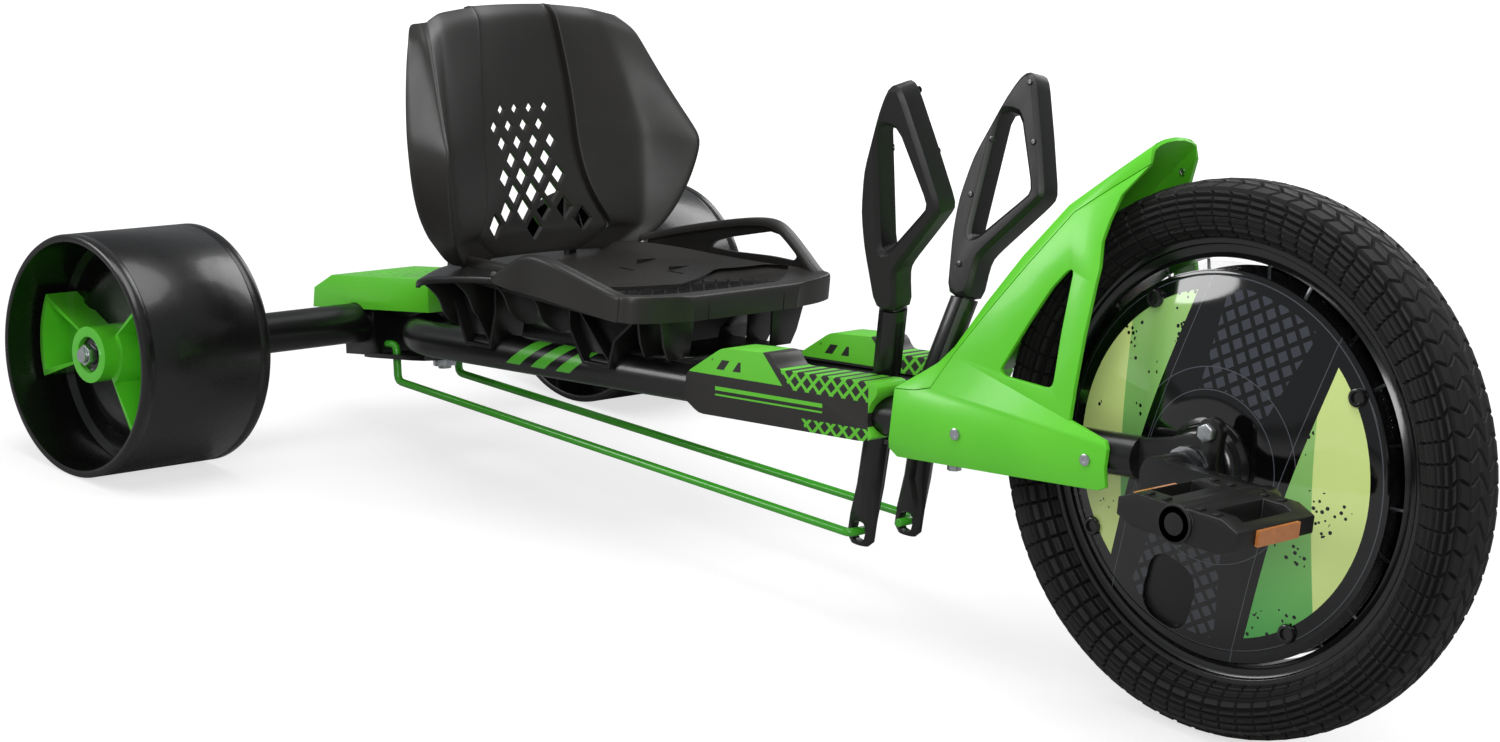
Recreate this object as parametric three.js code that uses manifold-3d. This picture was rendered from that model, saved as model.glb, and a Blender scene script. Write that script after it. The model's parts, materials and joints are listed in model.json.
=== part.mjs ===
// Pedal drift trike with a reclined bucket seat, two steering levers and a swivelling rear axle.
// Millimetres, +X forward, +Y to the rider's left, +Z up, with the origin on the ground
// under the middle of the bounding box.

import * as THREE from 'three';
import Module from 'manifold-3d';
import { mergeVertices } from 'three/addons/utils/BufferGeometryUtils.js';

const wasm = await Module();
wasm.setup();

// Overall layout
const wheelbase = 934;
const trackWidth = 704;
const seatGap = 0.3;
const runningGap = 0.4;
const cutOverrun = 40;

// Front wheel
const tyreRadius = 203;
const tyreWidth = 58;
const tyreDepth = 40;
const rimDepth = 16;
const rimWidth = 30;
const hubRadius = 17;
const hubWidth = 71;
const hubFlangeRadius = 33;
const hubFlangeOffset = 22;
const hubFlangeThickness = 3;
const spokeCount = 20;
const spokeRadius = 1.3;
const spokeRimSpread = 5;

// Clear cover discs on the front wheel, and the caps over their middles
const coverRimGap = 2;
const coverRimOffset = 17;
const coverThickness = 1.6;
const coverLip = 3;
const coverFlatRadius = 48;
const knobCount = 4;
const knobInset = 12;
const knobRadius = 7;
const knobHeight = 6;
const knobPhaseDeg = 20;
const hatchInset = 49;
const hatchWidth = 34;
const hatchDepth = 40;
const hatchAngleDeg = 243;
const capRadius = 31;
const capDepth = 15;
const capFlange = 4;

// Crank axle, cranks and pedals
const crankAxleRadius = 8;
const bearingRadius = 14;
const bearingFlangeRadius = 18;
const bearingFlange = 2;
const crankLength = 87;
const crankInnerFace = 87;
const crankThickness = 12;
const crankBossRadius = 15;
const crankBossDepth = 15;
const crankEyeRadius = 12;
const crankAngleDeg = 2;
const spindleRadius = 4.5;
const pedalLength = 98;
const pedalWidth = 88;
const pedalThickness = 24;
const pedalStandOff = 5;
const pedalBarrelRadius = 14;
const pedalWindowWidth = 54;
const pedalWall = 8;
const pedalEndCap = 2.5;
const reflectorWidth = 46;
const reflectorHeight = 11;
const reflectorDepth = 3;

// Frame: one hairpin tube with a kingpin sleeve at its bend
const railHalfSpacing = 60;
const railRadius = 15.5;
const railTiltDeg = 6.4;
const railDrop = 5.4;
const railSides = 14;
const bendSteps = 12;
const railEndSetback = 42;
const dropoutThickness = 8;
const dropoutEyeRadius = 26;
const dropoutEarRadius = 10;
const dropoutEarForward = 15;
const dropoutEarRise = 32;
const kingpinTiltDeg = 10.2;
const kingpinForward = 64;
const sleeveRadius = 17;
const kingpinRadius = 6;
const bushRadius = 11;
const bushFlangeRadius = 16;
const bushFlange = 2;
const bushLength = 14;
const nutRadius = 11;
const nutHeight = 9;
const clampBoltRadius = 7;
const clampBoltHeight = 6;

// Rear axle and drum wheels
const drumRadius = 102.7;
const drumWidth = 130;
const drumWall = 4;
const drumLip = 3;
const drumWebThickness = 5;
const drumWebDepth = 62;
const drumHubRadius = 21;
const drumRibCount = 6;
const drumRibThickness = 3;
const drumRibDepth = 34;
const wheelSides = 36;
const axleTubeRadius = 18;
const axleTubeBore = 14;
const axleRadius = 6;
const axlePlugFlange = 3;
const axlePlugLength = 12;
const insertRadius = 92;
const insertHubRadius = 24;
const insertSetback = 30;
const insertHubProud = 14;
const insertBlades = [{ atDeg: 172, halfDeg: 23 }, { atDeg: -12, halfDeg: 50 }];
const insertFloor = 4;
const insertFence = 5;
const wheelBushRadius = 15;
const wheelBushInset = 4;
const axleNutRadius = 9;
const axleNutHeight = 8;

// Rear truck: plates, axle block and the deck over them
const truckPlate = 4;
const truckPlateHalfWidth = 46;
const truckPlateNose = 34;
const truckPlateTail = 6;
const truckLower = -31.3;
const truckUpper = 12.6;
const truckBlockHalfLength = 21;
const truckBlockHalfWidth = 44;
const truckBlockTop = 23;
const truckRibThickness = 5;
const deckTop = 42.5;
const deckWall = 3;
const deckTail = 59;
const deckTailRise = 18;
const deckShoulder = 30;
const deckNose = 104;
const deckSlotLength = 9;
const deckSlotWidth = 6;
const deckSlotPitch = 15;
const deckSlotRows = 5;
const deckSlotColumns = 4;

// Steering levers and rods
const leverSetback = 317;
const leverInset = 28;
const leverRadius = 11;
const leverSides = 12;
const leverPivotRadius = 6;
const leverDrop = 104;
const leverTail = 11;
const leverRake = 9;
const leverFootHalfLength = 14.5;
const leverFootHalfWidth = 4.5;
const leverFlattenRise = 38;
const leverBendRise = 12;
const leverSplayDeg = 11.4;
const gripRise = 82;
const gripRake = 12.4;
const gripLength = 184;
const gripDepth = 82;
const gripThickness = 24;
const gripEdge = 3.5;
const gripCorner = 9;
const spigotRadius = 8;
const spigotLength = 46;
const spigotLean = 11;
const spacerRadius = 9;
const rodRadius = 3.6;
const rodSides = 8;
const rodHoleForward = 41;
const rodHoleInset = 36;
const rodFrontInset = 42;
const rodDrop = 21;
const rodHook = 13;
const rodHookRise = 8;
const rodBend = 6;
const rodTip = 13;
const slotPlay = 3.6;
const slotRisePlay = 4.8;

// Rail covers
const coverSeatGap = 16;
const coverPastLever = 39;
const coverSkin = 5;
const coverInset = 14;
const coverInnerFlange = 12;

// Shroud halves, the fender over them and the bracket below
const shroudCoverGap = 12;
const shroudSetback = 57;
const shroudBottom = 151;
const shroudHeight = 253;
const shroudHalfWidth = 80;
const fenderSkin = 3;
const fenderArchSteps = 8;
const bracketThickness = 4;
const bracketLength = 40;
const bracketLug = 26;
const bracketBoltRadius = 6;

// Bucket seat
const seatBackRear = 120;
const seatBackReach = 105;
const seatBackHalfWidth = 149;
const seatBackBottom = 205;
const seatBackHeight = 195;
const seatWall = 4;
const diamondPitch = 21;
const diamondSmall = 7;
const diamondLarge = 13;
const seatBaseRear = 150;
const seatBaseLength = 286;
const seatBaseHalfWidth = 126;
const seatBaseBottom = 184;
const seatBaseHeight = 40;
const loopSetback = 75;
const loopFrontInset = 16;
const loopOverhang = 14;
const loopTop = 241;
const loopBarWidth = 8;
const loopSkirt = 32;
const footWidth = 26;
const seatPostInset = 46;
const seatPostWidth = 9;
const seatPostDepth = 6;

const degree = Math.PI / 180;
const originForward = (wheelbase + tyreRadius - drumRadius) / 2;
const kingpinTilt = kingpinTiltDeg * degree;
const railTilt = railTiltDeg * degree;
const splay = leverSplayDeg * degree;

// Closed solids from geometries and back

function signedVolume(position, triangles) {
  const a = new THREE.Vector3();
  const b = new THREE.Vector3();
  const c = new THREE.Vector3();
  let sum = 0;
  for (let i = 0; i < triangles.length; i += 3) {
    a.fromBufferAttribute(position, triangles[i]);
    b.fromBufferAttribute(position, triangles[i + 1]);
    c.fromBufferAttribute(position, triangles[i + 2]);
    sum += a.dot(b.cross(c));
  }
  return sum;
}

function toSolid(geometry) {
  const bare = new THREE.BufferGeometry();
  bare.setAttribute('position', geometry.getAttribute('position').clone());
  if (geometry.index) {
    bare.setIndex(geometry.index.clone());
  }
  const merged = mergeVertices(bare);
  const position = merged.getAttribute('position');
  const index = merged.index.array;
  const triangles = [];
  for (let i = 0; i < index.length; i += 3) {
    const corners = [index[i], index[i + 1], index[i + 2]];
    if (new Set(corners).size === corners.length) {
      triangles.push(...corners);
    }
  }
  if (signedVolume(position, triangles) < 0) {
    triangles.reverse();
  }
  return new wasm.Manifold(new wasm.Mesh({
    numProp: 3,
    vertProperties: new Float32Array(position.array),
    triVerts: new Uint32Array(triangles),
  }));
}

function toGeometry(solid) {
  const mesh = solid.getMesh();
  const geometry = new THREE.BufferGeometry();
  geometry.setAttribute('position', new THREE.BufferAttribute(new Float32Array(mesh.vertProperties), 3));
  geometry.setIndex(new THREE.BufferAttribute(new Uint32Array(mesh.triVerts), 1));
  geometry.computeVertexNormals();
  return geometry;
}

function join(...geometries) {
  return toGeometry(geometries.map(toSolid).reduce((sum, next) => sum.add(next)));
}

function cut(body, ...tools) {
  return toGeometry(tools.map(toSolid).reduce((rest, tool) => rest.subtract(tool), toSolid(body)));
}

function common(first, second) {
  return toGeometry(toSolid(first).intersect(toSolid(second)));
}

function mirrored(geometry) {
  return toGeometry(toSolid(geometry.clone().scale(1, -1, 1)));
}

// Basic forms. A prism runs between two stations of one axis, and a bar lies along Y.

function polygon(points) {
  return new THREE.Shape(points.map(([x, y]) => new THREE.Vector2(x, y)));
}

function filletedOutline(points, radius, steps) {
  const corners = points.map(([x, y]) => new THREE.Vector2(x, y));
  return corners.flatMap((corner, i) => {
    const before = corners[(i + corners.length - 1) % corners.length];
    const after = corners[(i + 1) % corners.length];
    const reachIn = Math.min(radius, corner.distanceTo(before) * 0.45);
    const reachOut = Math.min(radius, corner.distanceTo(after) * 0.45);
    const start = corner.clone().add(before.clone().sub(corner).setLength(reachIn));
    const end = corner.clone().add(after.clone().sub(corner).setLength(reachOut));
    return new THREE.QuadraticBezierCurve(start, corner, end).getPoints(steps);
  });
}

function rounded(points, radius, steps = 3) {
  return new THREE.Shape(filletedOutline(points, radius, steps));
}

// Moves every edge of an outline to the right of its own direction.
function shifted(points, depth) {
  const corners = points.map(([x, y]) => new THREE.Vector2(x, y));
  return corners.map((corner, i) => {
    const before = corners[(i + corners.length - 1) % corners.length];
    const after = corners[(i + 1) % corners.length];
    const arriving = corner.clone().sub(before).normalize();
    const along = after.clone().sub(corner).normalize().add(arriving).normalize();
    const reach = depth / along.dot(arriving);
    return [corner.x + along.y * reach, corner.y - along.x * reach];
  });
}

function disc(radius, x = 0, y = 0) {
  return new THREE.Shape().absarc(x, y, radius, 0, 2 * Math.PI);
}

function extruded(shape, depth, segments) {
  return new THREE.ExtrudeGeometry(shape, { depth, bevelEnabled: false, curveSegments: segments });
}

function prismAlongY(shape, from, to, segments = 12) {
  return extruded(shape, to - from, segments).rotateX(Math.PI / 2).translate(0, to, 0);
}

function prismAlongZ(shape, from, to, segments = 12) {
  return extruded(shape, to - from, segments).translate(0, 0, from);
}

function prismAlongX(shape, from, to, segments = 12) {
  const turn = new THREE.Matrix4().makeBasis(
    new THREE.Vector3(0, 1, 0),
    new THREE.Vector3(0, 0, 1),
    new THREE.Vector3(1, 0, 0),
  );
  return extruded(shape, to - from, segments).applyMatrix4(turn).translate(from, 0, 0);
}

function revolved(profile, sides) {
  const closed = [...profile, profile[0]];
  return new THREE.LatheGeometry(closed.map(([r, y]) => new THREE.Vector2(r, y)), sides);
}

function ring(inner, outer, from, to, sides = 20) {
  return revolved([[inner, from], [outer, from], [outer, to], [inner, to]], sides);
}

function bar(radius, from, to, sides = 16) {
  return new THREE.CylinderGeometry(radius, radius, to - from, sides).translate(0, (from + to) / 2, 0);
}

function hexagon(radius, from, to) {
  return bar(radius, from, to, 6);
}

function upright(geometry) {
  return geometry.rotateX(Math.PI / 2);
}

function block(x0, x1, y0, y1, z0, z1) {
  const middle = [(x0 + x1) / 2, (y0 + y1) / 2, (z0 + z1) / 2];
  return new THREE.BoxGeometry(x1 - x0, y1 - y0, z1 - z0).translate(...middle);
}

// A curve whose steps fall on its own points, so that straight runs have no rings inside them.
class KnotCurve extends THREE.Curve {
  constructor(knots) {
    super();
    this.knots = knots;
  }

  getPoint(t, target = new THREE.Vector3()) {
    const place = t * (this.knots.length - 1);
    const i = Math.min(Math.floor(place), this.knots.length - 2);
    return target.lerpVectors(this.knots[i], this.knots[i + 1], place - i);
  }

  getPointAt(u, target) {
    return this.getPoint(u, target);
  }

  getTangentAt(u, target = new THREE.Vector3()) {
    const i = Math.round(u * (this.knots.length - 1));
    const here = this.knots[i];
    const arriving = here.clone().sub(this.knots[Math.max(i - 1, 0)]).normalize();
    const leaving = this.knots[Math.min(i + 1, this.knots.length - 1)].clone().sub(here).normalize();
    return target.copy(arriving).add(leaving).normalize();
  }
}

function filleted(corners, radius, steps) {
  const bends = corners.slice(1, -1).flatMap((corner, i) => {
    const start = corner.clone().add(corners[i].clone().sub(corner).setLength(radius));
    const end = corner.clone().add(corners[i + 2].clone().sub(corner).setLength(radius));
    return new THREE.QuadraticBezierCurve3(start, corner, end).getPoints(steps);
  });
  return [corners[0], ...bends, corners[corners.length - 1]];
}

function bentTube(knots, radius, sides) {
  const points = [];
  for (let i = 0; i < sides; i += 1) {
    const angle = (2 * Math.PI * i) / sides;
    points.push([radius * Math.cos(angle), radius * Math.sin(angle)]);
  }
  return new THREE.ExtrudeGeometry(polygon(points), {
    steps: knots.length - 1,
    extrudePath: new KnotCurve(knots),
  });
}

// Joins rings of equal count into one skin with a flat cap at each end.
function loft(rings, flatten) {
  const count = rings[0].length;
  const triangles = [];
  for (let low = 0; low < (rings.length - 1) * count; low += count) {
    for (let i = 0; i < count; i += 1) {
      const next = (i + 1) % count;
      triangles.push(low + i, low + next, low + count + next);
      triangles.push(low + i, low + count + next, low + count + i);
    }
  }
  [0, rings.length - 1].forEach((level) => {
    const outline = rings[level].map(flatten);
    const reversed = THREE.ShapeUtils.isClockWise(outline);
    const base = level * count;
    THREE.ShapeUtils.triangulateShape(outline, []).forEach(([a, b, c]) => {
      const forward = (level > 0) !== reversed;
      triangles.push(...(forward ? [base + a, base + b, base + c] : [base + a, base + c, base + b]));
    });
  });
  const geometry = new THREE.BufferGeometry().setFromPoints(rings.flat());
  const matched = capsMatchSides(rings, triangles, count);
  geometry.setIndex(matched ? triangles : flipCaps(rings, triangles, count));
  return geometry;
}

// The sides run one way round; the caps have to run the same way along the rim that they share.
function capsMatchSides(rings, triangles, count) {
  const sideCount = (rings.length - 1) * count * 6;
  for (let i = sideCount; i < triangles.length; i += 3) {
    for (let k = 0; k < 3; k += 1) {
      const a = triangles[i + k];
      const b = triangles[i + ((k + 1) % 3)];
      if (a < count && b === (a + 1) % count) {
        return false;
      }
      if (a < count && b < count && a === (b + 1) % count) {
        return true;
      }
    }
  }
  return true;
}

function flipCaps(rings, triangles, count) {
  const sideCount = (rings.length - 1) * count * 6;
  const flipped = triangles.slice(0, sideCount);
  for (let i = sideCount; i < triangles.length; i += 3) {
    flipped.push(triangles[i], triangles[i + 2], triangles[i + 1]);
  }
  return flipped;
}

const inPlan = (point) => new THREE.Vector2(point.x, point.y);
const inSection = (point) => new THREE.Vector2(point.y, point.z);
const inElevation = (point) => new THREE.Vector2(point.x, point.z);

// Places in the frame

const axleHeight = drumRadius;
const hubHeight = tyreRadius;

// A point of the truck's own tilted plane, measured from the rear axle, in the trike's frame.
function truckPoint(forward, side, rise) {
  return new THREE.Vector3(
    forward * Math.cos(kingpinTilt) - rise * Math.sin(kingpinTilt),
    side,
    axleHeight + forward * Math.sin(kingpinTilt) + rise * Math.cos(kingpinTilt),
  );
}

const railApex = truckPoint(kingpinForward, 0, -railDrop);

function railHeight(x) {
  return railApex.z + (x - railApex.x) * Math.tan(railTilt);
}

function railPoint(x, side) {
  return new THREE.Vector3(x, side, railHeight(x));
}

function onTruck(geometry) {
  return geometry.translate(kingpinForward, 0, 0).rotateY(-kingpinTilt).translate(0, 0, axleHeight);
}

const leverForward = wheelbase - leverSetback;
const coverRear = seatBaseRear + seatBaseLength + coverSeatGap;
const coverFront = leverForward + coverPastLever;
const coverLength = coverFront - coverRear;
const shroudRear = coverFront + shroudCoverGap;
const shroudLength = wheelbase - shroudSetback - shroudRear;
const pivotHeight = railHeight(leverForward);
const loopHalfWidth = seatBaseHalfWidth + loopOverhang;
const loopRear = seatBaseRear + loopSetback;
const loopLength = seatBaseLength - loopSetback - loopFrontInset;
const beadRadius = tyreRadius - tyreDepth;
const rimInnerRadius = beadRadius - rimDepth;
const coverOuterRadius = rimInnerRadius - coverRimGap;
const knobCircleRadius = coverOuterRadius - knobInset;
const hatchRadius = coverOuterRadius - hatchInset;
const sleeveBottom = truckLower + truckPlate + bushFlange + 2 * seatGap;
const sleeveTop = truckUpper - bushFlange - 2 * seatGap;
const dropoutInner = -railHalfSpacing + dropoutThickness / 2;
const dropoutOuter = -railHalfSpacing - dropoutThickness / 2;

// Frame

function hairpinKnots() {
  const bendCentre = railApex.x + railHalfSpacing;
  const front = wheelbase - railEndSetback;
  const knots = [railPoint(front, -railHalfSpacing)];
  for (let i = 0; i <= bendSteps; i += 1) {
    const angle = -Math.PI / 2 - (Math.PI * i) / bendSteps;
    const x = bendCentre + railHalfSpacing * Math.cos(angle);
    knots.push(railPoint(x, railHalfSpacing * Math.sin(angle)));
  }
  knots.push(railPoint(front, railHalfSpacing));
  return knots;
}

function dropoutPlate() {
  const rootX = wheelbase - railEndSetback - railRadius;
  const root = railHeight(rootX);
  const earX = wheelbase + dropoutEarForward;
  const earZ = hubHeight + dropoutEarRise;
  const outlines = [
    disc(dropoutEyeRadius, wheelbase, hubHeight),
    polygon([
      [rootX, root - railRadius * 0.8],
      [wheelbase, hubHeight - dropoutEyeRadius * 0.95],
      [wheelbase, hubHeight + dropoutEyeRadius * 0.95],
      [rootX, root + railRadius * 0.8],
    ]),
    disc(dropoutEarRadius, earX, earZ),
    polygon([
      [wheelbase - dropoutEarRadius, hubHeight],
      [wheelbase + dropoutEyeRadius * 0.9, hubHeight],
      [earX + dropoutEarRadius * 0.95, earZ],
      [earX - dropoutEarRadius * 0.95, earZ],
    ]),
  ];
  return join(...outlines.map((outline) => prismAlongY(outline, dropoutOuter, dropoutInner, 12)));
}

function mainFrame() {
  const tube = bentTube(hairpinKnots(), railRadius, railSides);
  const sleeve = onTruck(upright(bar(sleeveRadius, sleeveBottom, sleeveTop, 20)));
  const bore = onTruck(upright(bar(bushRadius + seatGap, truckLower, truckUpper, 20)));
  const pivotSeat = bar(leverPivotRadius + seatGap, -railHalfSpacing, railHalfSpacing, 12)
    .translate(leverForward, 0, pivotHeight);
  const bearingSeat = bar(bearingRadius + seatGap, -railHalfSpacing * 2, railHalfSpacing * 2, 24)
    .translate(wheelbase, 0, hubHeight);
  const right = dropoutPlate();
  return cut(join(tube, sleeve, right, mirrored(right)), bore, pivotSeat, bearingSeat);
}

function kingpinBush(face, outward) {
  return upright(revolved([
    [kingpinRadius + runningGap, face + outward * bushFlange],
    [bushFlangeRadius, face + outward * bushFlange],
    [bushFlangeRadius, face],
    [bushRadius, face],
    [bushRadius, face - outward * bushLength],
    [kingpinRadius + runningGap, face - outward * bushLength],
  ], 16));
}

function clampBolt() {
  const face = dropoutOuter - seatGap;
  return hexagon(clampBoltRadius, face - clampBoltHeight, face);
}

// Flanged bearing pressed into the dropout's eye
function axleBearing() {
  const outer = dropoutOuter - seatGap;
  return revolved([
    [crankAxleRadius + runningGap, outer - bearingFlange],
    [bearingFlangeRadius, outer - bearingFlange],
    [bearingFlangeRadius, outer],
    [bearingRadius, outer],
    [bearingRadius, dropoutInner],
    [crankAxleRadius + runningGap, dropoutInner],
  ], 16);
}

// Front wheel, about its own centre

function bothSides(side) {
  return [...side, ...[...side].reverse().map(([r, y]) => [r, -y])];
}

function tyre() {
  const profileShares = [[0, 0.42], [0.3, 0.92], [0.62, 1], [0.84, 0.88], [0.95, 0.62], [1, 0.25]];
  const side = profileShares.map(([r, y]) => [beadRadius + r * tyreDepth, (y * tyreWidth) / 2]);
  return revolved(bothSides(side), wheelSides);
}

function rim() {
  const half = rimWidth / 2;
  const outer = beadRadius - seatGap;
  const lip = (outer - rimInnerRadius) / 4;
  const side = [
    [outer, half - lip],
    [outer, half],
    [rimInnerRadius + lip, half],
    [rimInnerRadius, half - lip],
  ];
  return revolved(bothSides(side), wheelSides);
}

function spoke(index) {
  const side = index % 2 === 0 ? -1 : 1;
  const root = hubFlangeRadius - hubFlangeThickness;
  return bentTube([
    new THREE.Vector3(root, side * (hubFlangeOffset + hubFlangeThickness / 2), 0),
    new THREE.Vector3(rimInnerRadius * Math.cos(Math.PI / wheelSides) - seatGap, side * spokeRimSpread, 0),
  ], spokeRadius, 5).rotateY((2 * Math.PI * index) / spokeCount);
}

function wheelHub() {
  const half = hubWidth / 2;
  const bore = crankAxleRadius + seatGap;
  const flangeEnd = hubFlangeOffset + hubFlangeThickness;
  const body = revolved(bothSides([
    [bore, half],
    [hubRadius, half],
    [hubRadius, flangeEnd],
    [hubFlangeRadius, flangeEnd],
    [hubFlangeRadius, hubFlangeOffset],
    [hubRadius, hubFlangeOffset],
  ]), 24);
  return join(body, ...Array.from({ length: spokeCount }, (unused, i) => spoke(i)));
}

const coverHubOffset = hubWidth / 2 + seatGap;

function coverOffsetAt(radius) {
  const share = (coverOuterRadius - radius) / (coverOuterRadius - coverFlatRadius);
  return coverRimOffset + share * (coverHubOffset - coverRimOffset);
}

// Dished disc, flat against the hub's end, with its clips and a valve opening
function coverDisc() {
  const hole = crankAxleRadius + runningGap;
  const dish = revolved([
    [coverOuterRadius, -coverRimOffset + coverLip],
    [coverOuterRadius, -coverRimOffset - coverThickness],
    [coverFlatRadius, -coverHubOffset - coverThickness],
    [hole, -coverHubOffset - coverThickness],
    [hole, -coverHubOffset],
    [coverFlatRadius, -coverHubOffset],
    [coverOuterRadius - coverThickness, -coverRimOffset],
    [coverOuterRadius - coverThickness, -coverRimOffset + coverLip],
  ], wheelSides);
  const knobs = Array.from({ length: knobCount }, (unused, i) => {
    const face = -coverOffsetAt(knobCircleRadius + knobRadius);
    return bar(knobRadius, face - knobHeight, face, 8)
      .translate(knobCircleRadius, 0, 0)
      .rotateY(-(knobPhaseDeg + (360 * i) / knobCount) * degree);
  });
  const hatch = prismAlongY(rounded([
    [hatchRadius - hatchDepth / 2, -hatchWidth / 2],
    [hatchRadius + hatchDepth / 2, -hatchWidth / 2],
    [hatchRadius + hatchDepth / 2, hatchWidth / 2],
    [hatchRadius - hatchDepth / 2, hatchWidth / 2],
  ], hatchWidth / 3), -coverHubOffset - cutOverrun, 0).rotateY(-hatchAngleDeg * degree);
  return cut(join(dish, ...knobs), hatch);
}

// Domed cap over the cover's middle
function hubCap() {
  const outer = -coverHubOffset - coverThickness - seatGap;
  const hole = crankAxleRadius + runningGap;
  return revolved([
    [hole, outer],
    [capRadius + capFlange, outer],
    [capRadius + capFlange, outer - capFlange / 2],
    [capRadius, outer - capFlange],
    [capRadius * 0.93, outer - capDepth * 0.75],
    [capRadius * 0.7, outer - capDepth],
    [hole, outer - capDepth],
  ], 24);
}

// Cranks and pedals, about the crank axle. The right crank points forward.

const crankOuterFace = crankInnerFace + crankThickness;
const pedalInner = crankOuterFace + pedalStandOff;
const pedalOuter = pedalInner + pedalWidth;

const crankAxleEnd = crankInnerFace + crankThickness * 0.7;

function crankAxle() {
  return bar(crankAxleRadius, -crankAxleEnd, crankAxleEnd, 16);
}

function crankArm() {
  const web = prismAlongY(polygon([
    [0, -crankBossRadius * 0.85],
    [crankLength, -crankEyeRadius * 0.85],
    [crankLength, crankEyeRadius * 0.85],
    [0, crankBossRadius * 0.85],
  ]), -crankOuterFace, -crankInnerFace);
  const boss = bar(crankBossRadius, -crankOuterFace, -crankInnerFace + crankBossDepth, 20);
  const eye = bar(crankEyeRadius, -crankOuterFace, -crankInnerFace, 16).translate(crankLength, 0, 0);
  const axleSeat = bar(crankAxleRadius + seatGap, -crankAxleEnd - seatGap, 0, 16);
  const spindleSeat = bar(spindleRadius + seatGap, -crankOuterFace * 2, 0, 12)
    .translate(crankLength, 0, 0);
  return cut(join(web, boss, eye), axleSeat, spindleSeat);
}

function pedalSpindle() {
  return bar(spindleRadius, -pedalOuter + pedalWall, -crankInnerFace, 12);
}

function pedalBody() {
  const half = pedalLength / 2;
  const thin = pedalThickness / 2;
  const slab = prismAlongY(polygon([
    [-half, -thin / 2], [-half * 0.72, -thin], [half * 0.72, -thin], [half, -thin / 2],
    [half, thin / 2], [half * 0.72, thin], [-half * 0.72, thin], [-half, thin / 2],
  ]), -pedalOuter, -pedalInner);
  const barrel = bar(pedalBarrelRadius, -pedalOuter - pedalEndCap, -pedalInner, 18);
  const middle = -(pedalInner + pedalOuter) / 2;
  const windows = [-1, 1].map((side) => {
    const near = side * (pedalBarrelRadius + pedalWall / 2);
    const far = side * (half - pedalWall);
    return block(
      Math.min(near, far),
      Math.max(near, far),
      middle - pedalWindowWidth / 2,
      middle + pedalWindowWidth / 2,
      -pedalThickness,
      pedalThickness,
    );
  });
  const bore = bar(spindleRadius + runningGap, -pedalOuter + pedalWall - seatGap, 0, 12);
  return cut(join(slab, barrel), ...windows, bore);
}

function pedalReflector(side) {
  const middle = -(pedalInner + pedalOuter) / 2;
  const near = side * (pedalLength / 2 + seatGap);
  const far = near + side * reflectorDepth;
  return block(
    Math.min(near, far),
    Math.max(near, far),
    middle - reflectorWidth / 2,
    middle + reflectorWidth / 2,
    -reflectorHeight / 2,
    reflectorHeight / 2,
  );
}

// Rear wheels, about the rear axle

const drumOuter = -trackWidth / 2;
const drumInner = drumOuter + drumWidth;

function rearDrum() {
  const inside = drumRadius - drumWall;
  const web = drumOuter + drumWebDepth;
  const shell = revolved([
    [inside - drumLip, drumOuter],
    [drumRadius - drumLip, drumOuter],
    [drumRadius, drumOuter + drumLip],
    [drumRadius, drumInner - drumLip],
    [drumRadius - drumLip, drumInner],
    [inside - drumLip, drumInner],
    [inside, drumInner - drumLip],
    [inside, web + drumWebThickness],
    [drumHubRadius, web + drumWebThickness],
    [drumHubRadius, drumInner],
    [wheelBushRadius + seatGap, drumInner],
    [wheelBushRadius + seatGap, web],
    [inside, web],
    [inside, drumOuter + drumLip],
  ], wheelSides);
  const ribs = Array.from({ length: drumRibCount }, (unused, i) => block(
    drumHubRadius - drumRibThickness / 2,
    inside + drumWall / 2,
    web + drumWebThickness / 2,
    web + drumRibDepth,
    -drumRibThickness / 2,
    drumRibThickness / 2,
  ).rotateY((2 * Math.PI * i) / drumRibCount));
  return join(shell, ...ribs);
}

function sector(outer, inner, halfAngle) {
  const shape = new THREE.Shape();
  shape.absarc(0, 0, outer, -halfAngle, halfAngle, false);
  shape.absarc(0, 0, inner, halfAngle, -halfAngle, true);
  return shape;
}

const insertFace = drumOuter + insertSetback;
const insertBack = drumOuter + drumWebDepth - seatGap;
const bushFace = insertFace - insertHubProud + wheelBushInset;

// Two fan blades with raised edges, hollowed from outside, on one hub ring
function insertBlade({ atDeg, halfDeg }) {
  const half = halfDeg * degree;
  const fence = insertFence / insertRadius;
  const blade = prismAlongY(
    sector(insertRadius, wheelBushRadius * 1.2, half),
    insertFace,
    insertBack,
    8,
  );
  const pocket = prismAlongY(
    sector(insertRadius - insertFence, insertHubRadius + insertFence, half - fence),
    insertFace - cutOverrun,
    insertBack - insertFloor,
    8,
  );
  return cut(blade, pocket).rotateY(-atDeg * degree);
}

function wheelInsert() {
  const hub = bar(insertHubRadius, insertFace - insertHubProud, insertBack, 28);
  const bore = bar(wheelBushRadius + seatGap, insertFace - cutOverrun, insertBack + cutOverrun, 24);
  return cut(join(hub, ...insertBlades.map(insertBlade)), bore);
}

function wheelBush() {
  return ring(axleRadius + runningGap, wheelBushRadius, bushFace, drumInner, 16);
}

const axleNutFace = bushFace - runningGap;

function axleNut() {
  const nut = hexagon(axleNutRadius, axleNutFace - axleNutHeight, axleNutFace);
  return cut(nut, bar(axleRadius + seatGap, axleNutFace - cutOverrun, axleNutFace + cutOverrun, 16));
}

function axleShaft() {
  const end = axleNutFace - axleNutHeight - axleRadius / 2;
  return bar(axleRadius, end, -end, 16);
}

const axleTubeEnd = drumInner + axlePlugFlange + runningGap;

function axleTube() {
  return ring(axleTubeBore, axleTubeRadius, axleTubeEnd, -axleTubeEnd, 24);
}

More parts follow.
